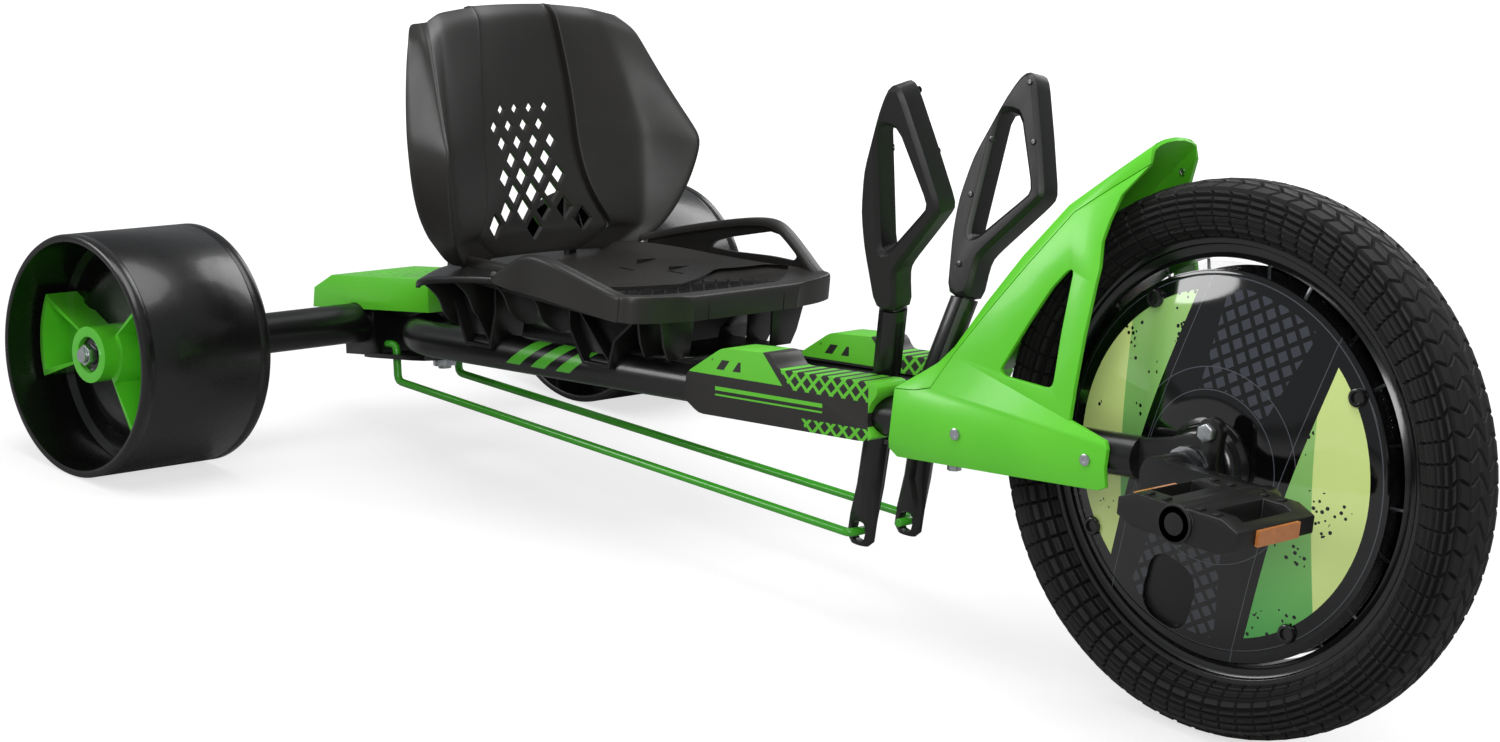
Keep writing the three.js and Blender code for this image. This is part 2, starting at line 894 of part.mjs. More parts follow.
function axlePlug() {
  const inner = axleTubeEnd + axlePlugLength;
  return revolved([
    [axleRadius + seatGap, axleTubeEnd - axlePlugFlange],
    [axleTubeRadius, axleTubeEnd - axlePlugFlange],
    [axleTubeRadius, axleTubeEnd - seatGap],
    [axleTubeBore - seatGap, axleTubeEnd - seatGap],
    [axleTubeBore - seatGap, inner],
    [axleRadius + seatGap, inner],
  ], 16);
}

// Rear truck, level about the rear axle

function plate(tail, nose, from, to) {
  const half = truckPlateHalfWidth;
  return prismAlongZ(rounded([[tail, -half], [nose, -half], [nose, half], [tail, half]], half / 2), from, to);
}

function truckFrame() {
  const nose = kingpinForward + truckPlateNose;
  const lower = plate(-truckPlateTail, nose, truckLower, truckLower + truckPlate);
  const upper = plate(-truckBlockHalfLength, nose, truckUpper, truckUpper + truckPlate);
  const body = block(
    -truckBlockHalfLength,
    truckBlockHalfLength,
    -truckBlockHalfWidth,
    truckBlockHalfWidth,
    truckLower + truckPlate / 2,
    truckBlockTop,
  );
  const gussets = [-1, 1].map((side) => {
    const outer = side * truckBlockHalfWidth;
    const inner = outer - side * truckRibThickness;
    return prismAlongY(polygon([
      [truckBlockHalfLength - truckRibThickness, truckLower + truckPlate / 2],
      [truckBlockHalfLength + truckRibThickness * 0.8, truckLower + truckPlate / 2],
      [truckBlockHalfLength - truckRibThickness, truckUpper + truckPlate / 2],
    ]), Math.min(outer, inner), Math.max(outer, inner));
  });
  const axleBore = bar(axleTubeRadius + seatGap, -truckPlateHalfWidth * 2, truckPlateHalfWidth * 2, 24);
  const kingpinBore = upright(bar(kingpinRadius + seatGap, truckLower * 2, truckUpper * 2, 16))
    .translate(kingpinForward, 0, 0);
  const rodBores = [-1, 1].map((side) => (
    upright(bar(rodRadius + runningGap, truckLower * 2, truckLower + truckPlate * 2, 12))
      .translate(rodHoleForward, side * rodHoleInset, 0)
  ));
  return cut(join(lower, upper, body, ...gussets), axleBore, kingpinBore, ...rodBores);
}

function kingpinBolt() {
  const head = truckUpper + truckPlate + seatGap;
  const shank = bar(kingpinRadius, truckLower - nutHeight - kingpinRadius / 2, head + nutHeight / 2, 16);
  return upright(join(shank, hexagon(nutRadius, head, head + nutHeight * 0.7)));
}

function kingpinNut() {
  const top = truckLower - seatGap;
  const nut = hexagon(nutRadius, top - nutHeight, top);
  return upright(cut(nut, bar(kingpinRadius + seatGap, top - cutOverrun, top + cutOverrun, 16)));
}

const deckInner = truckPlateHalfWidth + seatGap;
const deckHalfWidth = deckInner + deckWall;

function deckOutline(inset, drop) {
  const floor = truckUpper - drop;
  return polygon([
    [-deckTail + inset, floor],
    [-deckTail + inset + deckWall, truckUpper + deckTailRise],
    [-deckShoulder + inset / 2, deckTop - inset],
    [deckNose - inset, deckTop - inset],
    [deckNose - inset, floor],
  ]);
}

function deckSlots() {
  const half = deckSlotWidth / 2;
  const slots = [];
  for (let row = 1; row <= deckSlotRows; row += 1) {
    for (let column = 0; column < deckSlotColumns; column += 1) {
      const x = -deckShoulder + deckSlotPitch * row;
      const y = (column - (deckSlotColumns - 1) / 2) * deckSlotPitch * 1.3;
      const floor = deckTop - 2 * deckWall;
      slots.push(block(x, x + deckSlotLength, y - half, y + half, floor, deckTop + deckWall));
    }
  }
  return slots;
}

function deckCover() {
  const shell = prismAlongY(deckOutline(0, 0), -deckHalfWidth, deckHalfWidth);
  const hollow = prismAlongY(deckOutline(deckWall, cutOverrun), -deckInner, deckInner);
  const arch = bar(axleTubeRadius + seatGap, -deckHalfWidth * 2, deckHalfWidth * 2, 24);
  return cut(shell, hollow, arch, ...deckSlots());
}

// Steering levers, about the right lever's pivot: a tube with a flattened, slotted foot
// that leans outward above its bend and carries a moulded grip

const gripFoot = new THREE.Vector3(
  gripRake,
  -leverInset - (gripRise - leverBendRise) * Math.tan(splay),
  gripRise,
);

function leaned(geometry) {
  return geometry.rotateX(splay).translate(gripFoot.x, gripFoot.y, gripFoot.z);
}

function leverFootRings() {
  const stations = [
    [-leverRake, -leverDrop - leverTail, leverFootHalfLength * 0.6, leverFootHalfWidth],
    [-leverRake, -leverDrop - leverTail / 2, leverFootHalfLength, leverFootHalfWidth],
    [-leverRake * 0.9, -leverDrop + leverTail, leverFootHalfLength, leverFootHalfWidth],
    [-leverRake * 0.5, -leverDrop + leverFlattenRise, leverRadius, leverRadius],
    [0, leverBendRise, leverRadius, leverRadius],
  ];
  const angles = Array.from({ length: leverSides }, (unused, i) => (2 * Math.PI * i) / leverSides);
  return stations.map(([x, z, halfLength, halfWidth]) => angles.map((angle) => (
    new THREE.Vector3(x + halfLength * Math.cos(angle), -leverInset + halfWidth * Math.sin(angle), z)
  )));
}

function leverSpigot(radius, length) {
  return upright(bar(radius, -leverRadius, length, 16)).rotateY(-Math.atan2(spigotLean, spigotLength));
}

function leverTube() {
  const bend = new THREE.Vector3(0, -leverInset, leverBendRise);
  const rise = gripFoot.clone().sub(bend);
  const upper = bentTube([
    bend.clone().addScaledVector(rise, -leverRadius / (4 * rise.length())),
    gripFoot.clone().addScaledVector(rise, leverRadius / rise.length()),
  ], leverRadius, leverSides);
  const aboveShoulder = leaned(block(-gripDepth, gripDepth, -gripDepth, gripDepth, -seatGap, cutOverrun));
  const slotHalf = rodRadius + slotPlay;
  const slotRise = rodRadius + slotRisePlay;
  const slot = prismAlongY(rounded([
    [-leverRake - slotHalf, -leverDrop - slotRise],
    [-leverRake + slotHalf, -leverDrop - slotRise],
    [-leverRake + slotHalf, -leverDrop + slotRise],
    [-leverRake - slotHalf, -leverDrop + slotRise],
  ], slotHalf), -leverInset * 2, 0);
  const pivot = bar(leverPivotRadius + runningGap, -leverInset * 2, 0, 16);
  const tube = cut(join(loft(leverFootRings(), inPlan), upper), aboveShoulder, slot, pivot);
  return join(tube, leaned(leverSpigot(spigotRadius, spigotLength)));
}

// Places on the grip's side are shares of its depth and length, and its window runs the other
// way round than its outline.
const gripOutlineShares = [[0.128, 0], [0.018, 0.265], [0, 0.412], [0.055, 0.593], [0.274, 0.866],
  [0.396, 0.975], [0.5, 1], [0.579, 0.975], [0.786, 0.756], [1, 0.511], [0.956, 0.472], [0.457, 0.21],
  [0.408, 0.167], [0.408, 0]];
const gripWindowShares = [[0.323, 0.265], [0.761, 0.472], [0.834, 0.511], [0.493, 0.822], [0.25, 0.81],
  [0.24, 0.265]];
const gripFootShare = 0.267;

function gripPoints(shares) {
  return shares.map(([x, z]) => [(x - gripFootShare) * gripDepth, z * gripLength]);
}

// Slab with its edges cut back. As a cutter it runs past the grip's faces on the same slope.
function gripSlab(points, past) {
  const edge = gripEdge + past;
  const face = gripThickness / 2 + past;
  const stations = [[edge, -face], [0, edge - face], [0, face - edge], [edge, face]];
  const rings = stations.map(([depth, y]) => {
    const outline = filletedOutline(shifted(points, depth), gripCorner, 2);
    return outline.map((point) => new THREE.Vector3(point.x, y, point.y));
  });
  return loft(rings, inElevation);
}

// Closed loop with a stout rear bar and a slimmer guard
function leverGrip() {
  const body = gripSlab(gripPoints(gripOutlineShares), 0);
  const window = gripSlab(gripPoints(gripWindowShares), gripEdge);
  return leaned(cut(body, window, leverSpigot(spigotRadius + seatGap, spigotLength + seatGap)));
}

const railInner = railHalfSpacing - railRadius;

function leverPivotShaft() {
  const reach = railHalfSpacing - seatGap;
  return bar(leverPivotRadius, -reach, reach, 16);
}

function leverSpacer() {
  const reach = leverInset - leverRadius - runningGap;
  return ring(leverPivotRadius + seatGap, spacerRadius, -reach, reach, 16);
}

function pivotCollar() {
  const from = -railInner + seatGap * 2;
  const to = -leverInset - leverRadius - runningGap;
  return ring(leverPivotRadius + seatGap, spacerRadius, from, to, 16);
}

// Rod from its hook over the truck's plate to the pin in the lever's slot
function steeringRod() {
  const above = truckLower + truckPlate + rodHookRise;
  const slotPoint = new THREE.Vector3(leverForward - leverRake, -rodFrontInset, pivotHeight - leverDrop);
  const route = [
    truckPoint(rodHoleForward - rodHook, -rodHoleInset, above),
    truckPoint(rodHoleForward, -rodHoleInset, above),
    truckPoint(rodHoleForward, -rodHoleInset, truckLower - rodDrop),
    slotPoint,
    slotPoint.clone().setY(-leverInset + rodTip),
  ];
  return bentTube(filleted(route, rodBend, 3), rodRadius, rodSides);
}

// Rail covers: a skin round the outside and top of each rail with a raised rear hump.
// Rises are shares of the rail's radius from its centre line.
const coverOutlineShares = [[0, 0.83], [0.18, 2.37], [0.44, 2.48], [0.48, 1.73], [0.985, 1.82], [1, 1.3],
  [0.96, 0.6], [0.96, -0.45], [1, -1], [0.95, -1.22], [0.085, -1.23], [0, -0.57]];

function railCover() {
  const points = coverOutlineShares.map(([along, up]) => {
    const x = coverRear + along * coverLength;
    return [x, railHeight(x) + up * railRadius];
  });
  const outer = -railHalfSpacing - railRadius - coverSkin;
  const inner = -railHalfSpacing + coverInset;
  const rear = coverRear - cutOverrun;
  const front = coverFront + cutOverrun;
  const railWay = bentTube(
    [railPoint(rear, -railHalfSpacing), railPoint(front, -railHalfSpacing)],
    railRadius + seatGap,
    railSides * 2,
  );
  const mouth = prismAlongY(polygon([
    [rear, railHeight(rear) - cutOverrun],
    [front, railHeight(front) - cutOverrun],
    [front, railHeight(front) + coverInnerFlange],
    [rear, railHeight(rear) + coverInnerFlange],
  ]), -railHalfSpacing, cutOverrun);
  return cut(prismAlongY(rounded(points, coverSkin, 2), outer, inner), railWay, mouth);
}

// Shroud and fender meet on one seam. Each place of it is a share of the shroud's length, height
// and half width, and the crown over it has its own place along and up.
const seamShares = [
  { along: 0.014, up: 0.205, wide: 1, crownAlong: 0.014, crownUp: 0.217 },
  { along: 0.105, up: 0.217, wide: 1, crownAlong: 0.095, crownUp: 0.289 },
  { along: 0.177, up: 0.237, wide: 0.99, crownAlong: 0.167, crownUp: 0.344 },
  { along: 0.258, up: 0.352, wide: 0.963, crownAlong: 0.23, crownUp: 0.384 },
  { along: 0.368, up: 0.498, wide: 0.888, crownAlong: 0.32, crownUp: 0.53 },
  { along: 0.488, up: 0.656, wide: 0.775, crownAlong: 0.426, crownUp: 0.688 },
  { along: 0.622, up: 0.83, wide: 0.625, crownAlong: 0.56, crownUp: 0.85 },
  { along: 0.737, up: 0.917, wide: 0.5, crownAlong: 0.689, crownUp: 0.957 },
  { along: 0.847, up: 0.998, wide: 0.3625, crownAlong: 0.833, crownUp: 1.067 },
];
const shroudFrontShares = [[0.785, 0.905], [0.77, 0.771], [0.79, 0.7], [0.809, 0.328], [0.809, 0.265],
  [0.974, 0.237], [0.988, 0.217], [0.986, 0.16], [1, 0.107], [0.971, 0.093], [0.655, 0.061], [0.323, 0.028],
  [0.048, 0], [0.01, 0.02]];
const shroudWindowShares = [[0.665, 0.674], [0.689, 0.678], [0.717, 0.347], [0.687, 0.336], [0.493, 0.335],
  [0.474, 0.348], [0.612, 0.609]];
const shroudFootWidthShares = [[0, 0.965], [0.05, 1]];
const shroudTopWidthShares = [1.02, 0.34];

function shroudPoint([along, up]) {
  return [shroudRear + along * shroudLength, shroudBottom + up * shroudHeight];
}

function shroudSide() {
  const skin = shroudHalfWidth - railHalfSpacing - railRadius - seatGap;
  const widths = [
    ...shroudFootWidthShares,
    ...seamShares.slice(1).map(({ up, wide }) => [up, wide]),
    shroudTopWidthShares,
  ];
  const outer = widths.map(([up, wide]) => [-wide * shroudHalfWidth, shroudBottom + up * shroudHeight]);
  const inner = [...outer].reverse().map(([y, z]) => [y + skin, z]);
  const section = prismAlongX(
    polygon([...outer, ...inner]),
    shroudRear - cutOverrun,
    shroudRear + shroudLength + cutOverrun,
  );
  const seam = seamShares.map(({ along, up }) => shroudPoint([along, up]));
  const outline = polygon([...seam, ...shroudFrontShares.map(shroudPoint)]);
  const trim = prismAlongY(outline, -shroudHalfWidth - cutOverrun, 0);
  const window = prismAlongY(
    rounded(shroudWindowShares.map(shroudPoint), skin, 2),
    -shroudHalfWidth - cutOverrun,
    0,
  );
  return cut(common(section, trim), window);
}

function fender() {
  const lift = 2 * seatGap;
  const rings = seamShares.map(({ along, up, wide, crownAlong, crownUp }) => {
    const [edgeX, edgeZ] = shroudPoint([along, up]);
    const [crownX, crownZ] = shroudPoint([crownAlong, crownUp]);
    const half = wide * shroudHalfWidth;
    const outer = [];
    const inner = [];
    for (let i = 0; i <= fenderArchSteps; i += 1) {
      const angle = (Math.PI * i) / fenderArchSteps;
      const rise = Math.sqrt(Math.sin(angle));
      const x = edgeX + (crownX - edgeX) * rise;
      const z = edgeZ + (crownZ - edgeZ) * rise + lift;
      outer.push(new THREE.Vector3(x, -Math.cos(angle) * half, z));
      inner.push(new THREE.Vector3(
        x + fenderSkin * 0.8 * rise,
        -Math.cos(angle) * (half - fenderSkin),
        z - fenderSkin * 0.7 * rise,
      ));
    }
    return [...outer, ...inner.reverse()];
  });
  return loft(rings, inSection);
}

// Cross plate under the rails with a lug for its bolt, about the rails' centre plane
const bracketTop = -railRadius - seatGap;
const lugEnd = bracketTop - bracketLug;

function frontBracket() {
  const half = bracketLength / 2;
  const reach = railHalfSpacing + railRadius * 0.8;
  const floor = bracketTop - bracketThickness;
  const cross = block(-half, half, -reach, reach, floor, bracketTop);
  const lug = block(-half, 0, -half / 2, half / 2, lugEnd, floor + bracketThickness / 2);
  return join(cross, lug);
}

function bracketBolt() {
  const face = lugEnd - seatGap;
  const head = hexagon(bracketBoltRadius, face - bracketBoltRadius, face);
  return upright(head).translate(-bracketLength / 4, 0, 0);
}

// Seat back: a thin dished shell lofted from level sections. Places are shares of the seat
// back's height, half width and reach, for the middle, the panel's edge, the wing and the side.
const seatLevelShares = [
  { up: 0, middle: 0.55, panel: 0.31, panelX: 0.57, wingX: 0.76, wing: 0.67, sideX: 0.59, side: 0.7 },
  { up: 0.04, middle: 0.53, panel: 0.47, panelX: 0.63, wingX: 0.87, wing: 0.79, sideX: 0.59, side: 0.8 },
  { up: 0.11, middle: 0.51, panel: 0.52, panelX: 0.69, wingX: 0.91, wing: 0.85, sideX: 0.56, side: 0.87 },
  { up: 0.18, middle: 0.5, panel: 0.43, panelX: 0.6, wingX: 0.95, wing: 0.9, sideX: 0.55, side: 0.92 },
  { up: 0.3, middle: 0.45, panel: 0.37, panelX: 0.49, wingX: 1, wing: 0.96, sideX: 0.55, side: 0.98 },
  { up: 0.48, middle: 0.34, panel: 0.355, panelX: 0.38, wingX: 0.99, wing: 0.98, sideX: 0.51, side: 1 },
  { up: 0.7, middle: 0.22, panel: 0.335, panelX: 0.26, wingX: 0.7, wing: 0.9, sideX: 0.31, side: 0.93 },
  { up: 0.96, middle: 0.05, panel: 0.29, panelX: 0.08, wingX: 0.35, wing: 0.82, sideX: 0.18, side: 0.87 },
  { up: 1, middle: 0.04, panel: 0.29, panelX: 0.06, wingX: 0.3, wing: 0.79, sideX: 0.17, side: 0.84 },
];
// How far the rear face stands from the front face at each of its points, in walls
const seatWallShares = [[0, 1], [1.7, 1], [0.8, -0.5], [1, -0.25], [1, 0]];

function seatFace(level, wall) {
  return [
    [level.sideX, level.side],
    [level.wingX, level.wing],
    [(level.wingX + level.panelX) / 2, level.panel + (level.wing - level.panel) * 0.58],
    [level.panelX, level.panel],
    [level.middle, level.panel * 0.4],
  ].map(([x, y], i) => [
    seatBackRear + x * seatBackReach - seatWallShares[i][0] * wall,
    y * seatBackHalfWidth - seatWallShares[i][1] * wall,
  ]);
}

function acrossLevel(points, z) {
  const right = points.map(([x, y]) => new THREE.Vector3(x, -y, z));
  const left = [...points].reverse().map(([x, y]) => new THREE.Vector3(x, y, z));
  return [...right, ...left];
}

function levelHeight(level) {
  return seatBackBottom + level.up * seatBackHeight;
}

function seatBackShell(gap) {
  return loft(seatLevelShares.map((level) => {
    const z = levelHeight(level) - gap;
    const front = acrossLevel(seatFace(level, -gap), z);
    return [...front, ...acrossLevel(seatFace(level, seatWall + gap), z).reverse()];
  }), inPlan);
}

const diamondRowCounts = [4, 4, 4, 3, 4, 3, 4, 3];
const diamondTopShare = 0.56;
const diamondBottomShare = 0.09;

function seatDiamonds() {
  return diamondRowCounts.flatMap((count, row) => {
    const share = row / (diamondRowCounts.length - 1);
    const half = (diamondSmall + (diamondLarge - diamondSmall) * share) / 2;
    const up = diamondTopShare + (diamondBottomShare - diamondTopShare) * share;
    const z = seatBackBottom + seatBackHeight * up;
    return Array.from({ length: count }, (unused, i) => {
      const y = (i - (count - 1) / 2) * diamondPitch;
      const outline = polygon([[y - half, z], [y, z - half * 1.2], [y + half, z], [y, z + half * 1.2]]);
      return prismAlongX(outline, seatBackRear - cutOverrun, seatBackRear + seatBackReach * 2);
    });
  });
}

function seatBack() {
  return cut(seatBackShell(0), ...seatDiamonds());
}

// Seat base: sections along X with a dished top and an apron, hollow below. Places are shares
// of the base's length, half width and height.
const seatSectionShares = [
  { along: 0, wide: 0.6, rim: 0.4, floor: 0.2, under: 0.05 },
  { along: 0.14, wide: 0.74, rim: 0.575, floor: 0.275, under: 0.05 },
  { along: 0.315, wide: 0.8, rim: 0.725, floor: 0.375, under: 0.15 },
  { along: 0.525, wide: 0.84, rim: 0.775, floor: 0.475, under: 0.225 },
  { along: 0.735, wide: 0.9, rim: 0.85, floor: 0.625, under: 0.3 },
  { along: 0.87, wide: 0.97, rim: 0.95, floor: 0.8, under: 0.4 },
  { along: 0.94, wide: 0.96, rim: 0.975, floor: 0.9, under: 0.425 },
  { along: 0.965, wide: 0.857, rim: 0.9, floor: 0.88, under: 0.425 },
  { along: 0.98, wide: 0.675, rim: 0.75, floor: 0.74, under: 0.425 },
  { along: 1, wide: 0.4, rim: 0.55, floor: 0.54, under: 0.425 },
];
const hollowSections = seatSectionShares.filter(({ along }) => along < 0.97);

function seatSections(sections, inset, drop) {
  return sections.map(({ along, wide, rim, floor, under }) => {
    const x = seatBaseRear + Math.max(along * seatBaseLength, inset);
    const half = wide * seatBaseHalfWidth - inset;
    const rimTop = seatBaseBottom + rim * seatBaseHeight - inset;
    const floorTop = seatBaseBottom + floor * seatBaseHeight - inset;
    const profile = [
      [half * 0.5, floorTop],
      [half * 0.84, floorTop + (rimTop - floorTop) * 0.6],
      [half * 0.93, rimTop],
      [half, rimTop - seatWall / 2],
      [half, seatBaseBottom + under * seatBaseHeight - drop],
    ];
    const right = profile.map(([y, z]) => new THREE.Vector3(x, -y, z));
    const left = [...profile].reverse().map(([y, z]) => new THREE.Vector3(x, y, z));
    return [...right, ...left];
  });
}

// Grab handle beside the pan: half widths are shares of the handle's, and drops below its
// highest point are shares of its skirt. The right one is deep, the left one a slim open bar.
const loopShares = [
  { along: 0, wide: 0.714, top: 0.9, deep: 1.19, slim: 1.19 },
  { along: 0.13, wide: 0.836, top: 0.84, deep: 1.16, slim: 1.12 },
  { along: 0.24, wide: 0.943, top: 0.62, deep: 1.11, slim: 0.88 },
  { along: 0.385, wide: 0.986, top: 0.22, deep: 1.03, slim: 0.5 },
  { along: 0.49, wide: 1, top: 0, deep: 1, slim: 0.41 },
  { along: 0.615, wide: 0.993, top: 0.06, deep: 1.02, slim: 0.47 },
  { along: 0.77, wide: 0.943, top: 0.3, deep: 1.09, slim: 0.72 },
  { along: 0.91, wide: 0.886, top: 0.54, deep: 1.17, slim: 1.12 },
  { along: 1, wide: 0.8, top: 0.66, deep: 1.22, slim: 1.22 },
];

function seatLoop(lowShare) {
  const soft = loopBarWidth / 4;
  const rings = loopShares.map((station) => {
    const x = loopRear + station.along * loopLength;
    const outer = -station.wide * loopHalfWidth;
    const inner = outer + loopBarWidth;
    const top = loopTop - station.top * loopSkirt;
    const low = loopTop - lowShare(station) * loopSkirt;
    return [
      new THREE.Vector3(x, inner, top - soft),
      new THREE.Vector3(x, inner - soft, top),
      new THREE.Vector3(x, outer + soft, top),
      new THREE.Vector3(x, outer, top - soft),
      new THREE.Vector3(x, outer, low),
      new THREE.Vector3(x, inner, low),
    ];
  });
  return loft(rings, inSection);
}

const footShares = [
  { along: 0.052, length: 0.12 },
  { along: 0.524, length: 0.147 },
  { along: 0.846, length: 0.15 },
];

// Foot from the underside of the pan to the top of a rail
function seatFoot({ along, length }) {
  const from = seatBaseRear + along * seatBaseLength;
  const to = from + length * seatBaseLength;
  const leg = block(
    from,
    to,
    -railHalfSpacing - footWidth / 2,
    -railHalfSpacing + footWidth / 2,
    railHeight(from),
    seatBaseBottom + seatBaseHeight,
  );
  const belowPan = loft(seatSections(seatSectionShares, seatWall / 2, seatBaseBottom), inSection);
  const rail = bentTube(
    [railPoint(from - cutOverrun, -railHalfSpacing), railPoint(to + cutOverrun, -railHalfSpacing)],
    railRadius + seatGap,
    railSides * 2,
  );
  return cut(common(leg, belowPan), rail);
}

function seatRib({ along, length }) {
  const x = seatBaseRear + (along + length / 2) * seatBaseLength;
  const slab = block(
    x,
    x + seatWall,
    -seatBaseHalfWidth,
    seatBaseHalfWidth,
    seatBaseBottom,
    seatBaseBottom + seatBaseHeight,
  );
  return common(slab, loft(seatSections(seatSectionShares, seatWall / 2, 0), inSection));
}

// Post behind each side of the back panel, cut to the shape of the panel's rear face
function seatPost() {
  const levels = seatLevelShares.filter(({ up }) => up < 0.5);
  const faces = levels.map((level) => [seatBackRear + level.middle * seatBackReach, levelHeight(level)]);
  const front = faces.map(([x, z]) => [x + seatPostWidth, z]);
  const rear = [...faces].reverse().map(([x, z]) => [x - seatWall - seatPostDepth, z]);
  const [foot] = front;
  const [rearFoot] = rear.slice(-1);
  const root = seatBaseBottom + seatBaseHeight * 0.15;
  const outline = polygon([[foot[0], root], ...front, ...rear, [rearFoot[0], root]]);
  const ahead = loft(seatLevelShares.map((level) => {
    const z = levelHeight(level);
    const [[sideX, side]] = seatFace(level, 0);
    return [
      ...acrossLevel([[sideX + seatBackReach, side]], z),
      ...acrossLevel(seatFace(level, seatWall + seatGap), z).reverse(),
    ];
  }), inPlan);
  return cut(prismAlongY(outline, -seatPostInset - seatPostWidth, -seatPostInset), ahead);
}

function seatBase() {
  const outer = loft(seatSections(seatSectionShares, 0, 0), inSection);
  const hollow = loft(seatSections(hollowSections, seatWall, cutOverrun), inSection);
  const rightSide = [...footShares.map(seatFoot), seatPost()];
  const body = join(
    cut(outer, hollow),
    ...footShares.map(seatRib),
    ...rightSide,
    ...rightSide.map(mirrored),
    seatLoop(({ deep }) => deep),
    mirrored(seatLoop(({ slim }) => slim)),
  );
  return cut(body, seatBackShell(seatGap));
}

// Materials

function finish(color, roughness, metalness = 0) {
  return new THREE.MeshStandardMaterial({ color, roughness, metalness });
}

const green = finish(0x6fd42a, 0.35);
const glossBlack = finish(0x17181a, 0.3);
const mattBlack = finish(0x4a4947, 0.7);
const paintBlack = finish(0x232325, 0.45, 0.3);
const steel = finish(0xc9ccd0, 0.25, 1);
const rubber = finish(0x242426, 0.85);
const clear = finish(0x9ad08a, 0.15);
const amber = finish(0xe0803a, 0.3);
const greenPaint = finish(0x55b52c, 0.4, 0.2);

// Assembly

const trike = new THREE.Group();

function group(parent, x = 0, y = 0, z = 0) {
  const made = new THREE.Group();
  made.position.set(x, y, z);
  parent.add(made);
  return made;
}

function place(parent, name, geometry, material) {
  const mesh = new THREE.Mesh(toGeometry(toSolid(geometry)), material);
  mesh.name = name;
  parent.add(mesh);
  return mesh;
}

function placePair(parent, name, geometry, material) {
  place(parent, `${name}_right`, geometry, material);
  place(parent, `${name}_left`, mirrored(geometry), material);
}

const assembly = group(trike, -originForward);
const frame = group(assembly);
const frontAxle = group(assembly, wheelbase, 0, hubHeight);
const leverAxis = group(assembly, leverForward, 0, pivotHeight);
const rearAxle = group(assembly, 0, 0, axleHeight);
rearAxle.rotation.y = -kingpinTilt;
const kingpinAxis = group(rearAxle, kingpinForward);

place(frame, 'main_frame', mainFrame(), paintBlack);
place(kingpinAxis, 'kingpin_bush_upper', kingpinBush(sleeveTop + seatGap, 1), glossBlack);
place(kingpinAxis, 'kingpin_bush_lower', kingpinBush(sleeveBottom - seatGap, -1), glossBlack);
placePair(frontAxle, 'axle_bearing', axleBearing(), steel);
const clampEar = group(frontAxle, dropoutEarForward, 0, dropoutEarRise);
placePair(clampEar, 'clamp_bolt', clampBolt(), steel);
place(leverAxis, 'lever_pivot_shaft', leverPivotShaft(), steel);
place(leverAxis, 'lever_spacer', leverSpacer(), glossBlack);
placePair(leverAxis, 'pivot_collar', pivotCollar(), glossBlack);
placePair(frame, 'rail_cover', railCover(), mattBlack);
placePair(frame, 'shroud', shroudSide(), green);
place(frame, 'fender', fender(), green);
const bracketForward = coverFront + bracketLength / 2 + 2 * seatGap;
const bracket = group(frame, bracketForward, 0, railHeight(bracketForward));
bracket.rotation.y = -railTilt;
place(bracket, 'front_bracket', frontBracket(), paintBlack);
place(bracket, 'bracket_bolt', bracketBolt(), steel);
place(frame, 'seat_back', seatBack(), mattBlack);
place(frame, 'seat_base', seatBase(), mattBlack);

place(rearAxle, 'truck_frame', truckFrame(), glossBlack);
place(kingpinAxis, 'kingpin_bolt', kingpinBolt(), steel);
place(kingpinAxis, 'kingpin_nut', kingpinNut(), steel);
place(rearAxle, 'deck_cover', deckCover(), green);
place(rearAxle, 'axle_tube', axleTube(), paintBlack);
place(rearAxle, 'axle_shaft', axleShaft(), steel);
placePair(rearAxle, 'axle_plug', axlePlug(), glossBlack);
placePair(rearAxle, 'axle_nut', axleNut(), steel);
placePair(rearAxle, 'rear_drum', rearDrum(), glossBlack);
placePair(rearAxle, 'wheel_insert', wheelInsert(), green);
placePair(rearAxle, 'wheel_bush', wheelBush(), glossBlack);

placePair(leverAxis, 'lever_tube', leverTube(), paintBlack);
placePair(leverAxis, 'lever_grip', leverGrip(), mattBlack);
placePair(assembly, 'steering_rod', steeringRod(), greenPaint);

place(frontAxle, 'tyre', tyre(), rubber);
place(frontAxle, 'rim', rim(), glossBlack);
place(frontAxle, 'wheel_hub', wheelHub(), glossBlack);
placePair(frontAxle, 'cover_disc', coverDisc(), clear);
placePair(frontAxle, 'hub_cap', hubCap(), glossBlack);
place(frontAxle, 'crank_axle', crankAxle(), steel);

[['right', 0, (geometry) => geometry], ['left', Math.PI, mirrored]].forEach(([side, turn, onSide]) => {
  const crank = group(frontAxle);
  crank.rotation.y = -(crankAngleDeg * degree + turn);
  place(crank, `crank_arm_${side}`, onSide(crankArm()), paintBlack);
  const spindle = group(crank, crankLength);
  spindle.rotation.y = -crank.rotation.y;
  place(spindle, `pedal_spindle_${side}`, onSide(pedalSpindle()), steel);
  place(spindle, `pedal_body_${side}`, onSide(pedalBody()), mattBlack);
  place(spindle, `pedal_reflector_front_${side}`, onSide(pedalReflector(1)), amber);
  place(spindle, `pedal_reflector_rear_${side}`, onSide(pedalReflector(-1)), amber);
});

export default trike;
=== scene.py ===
import json
import math

import bpy
from mathutils import Matrix, Vector
from mathutils.bvhtree import BVHTree


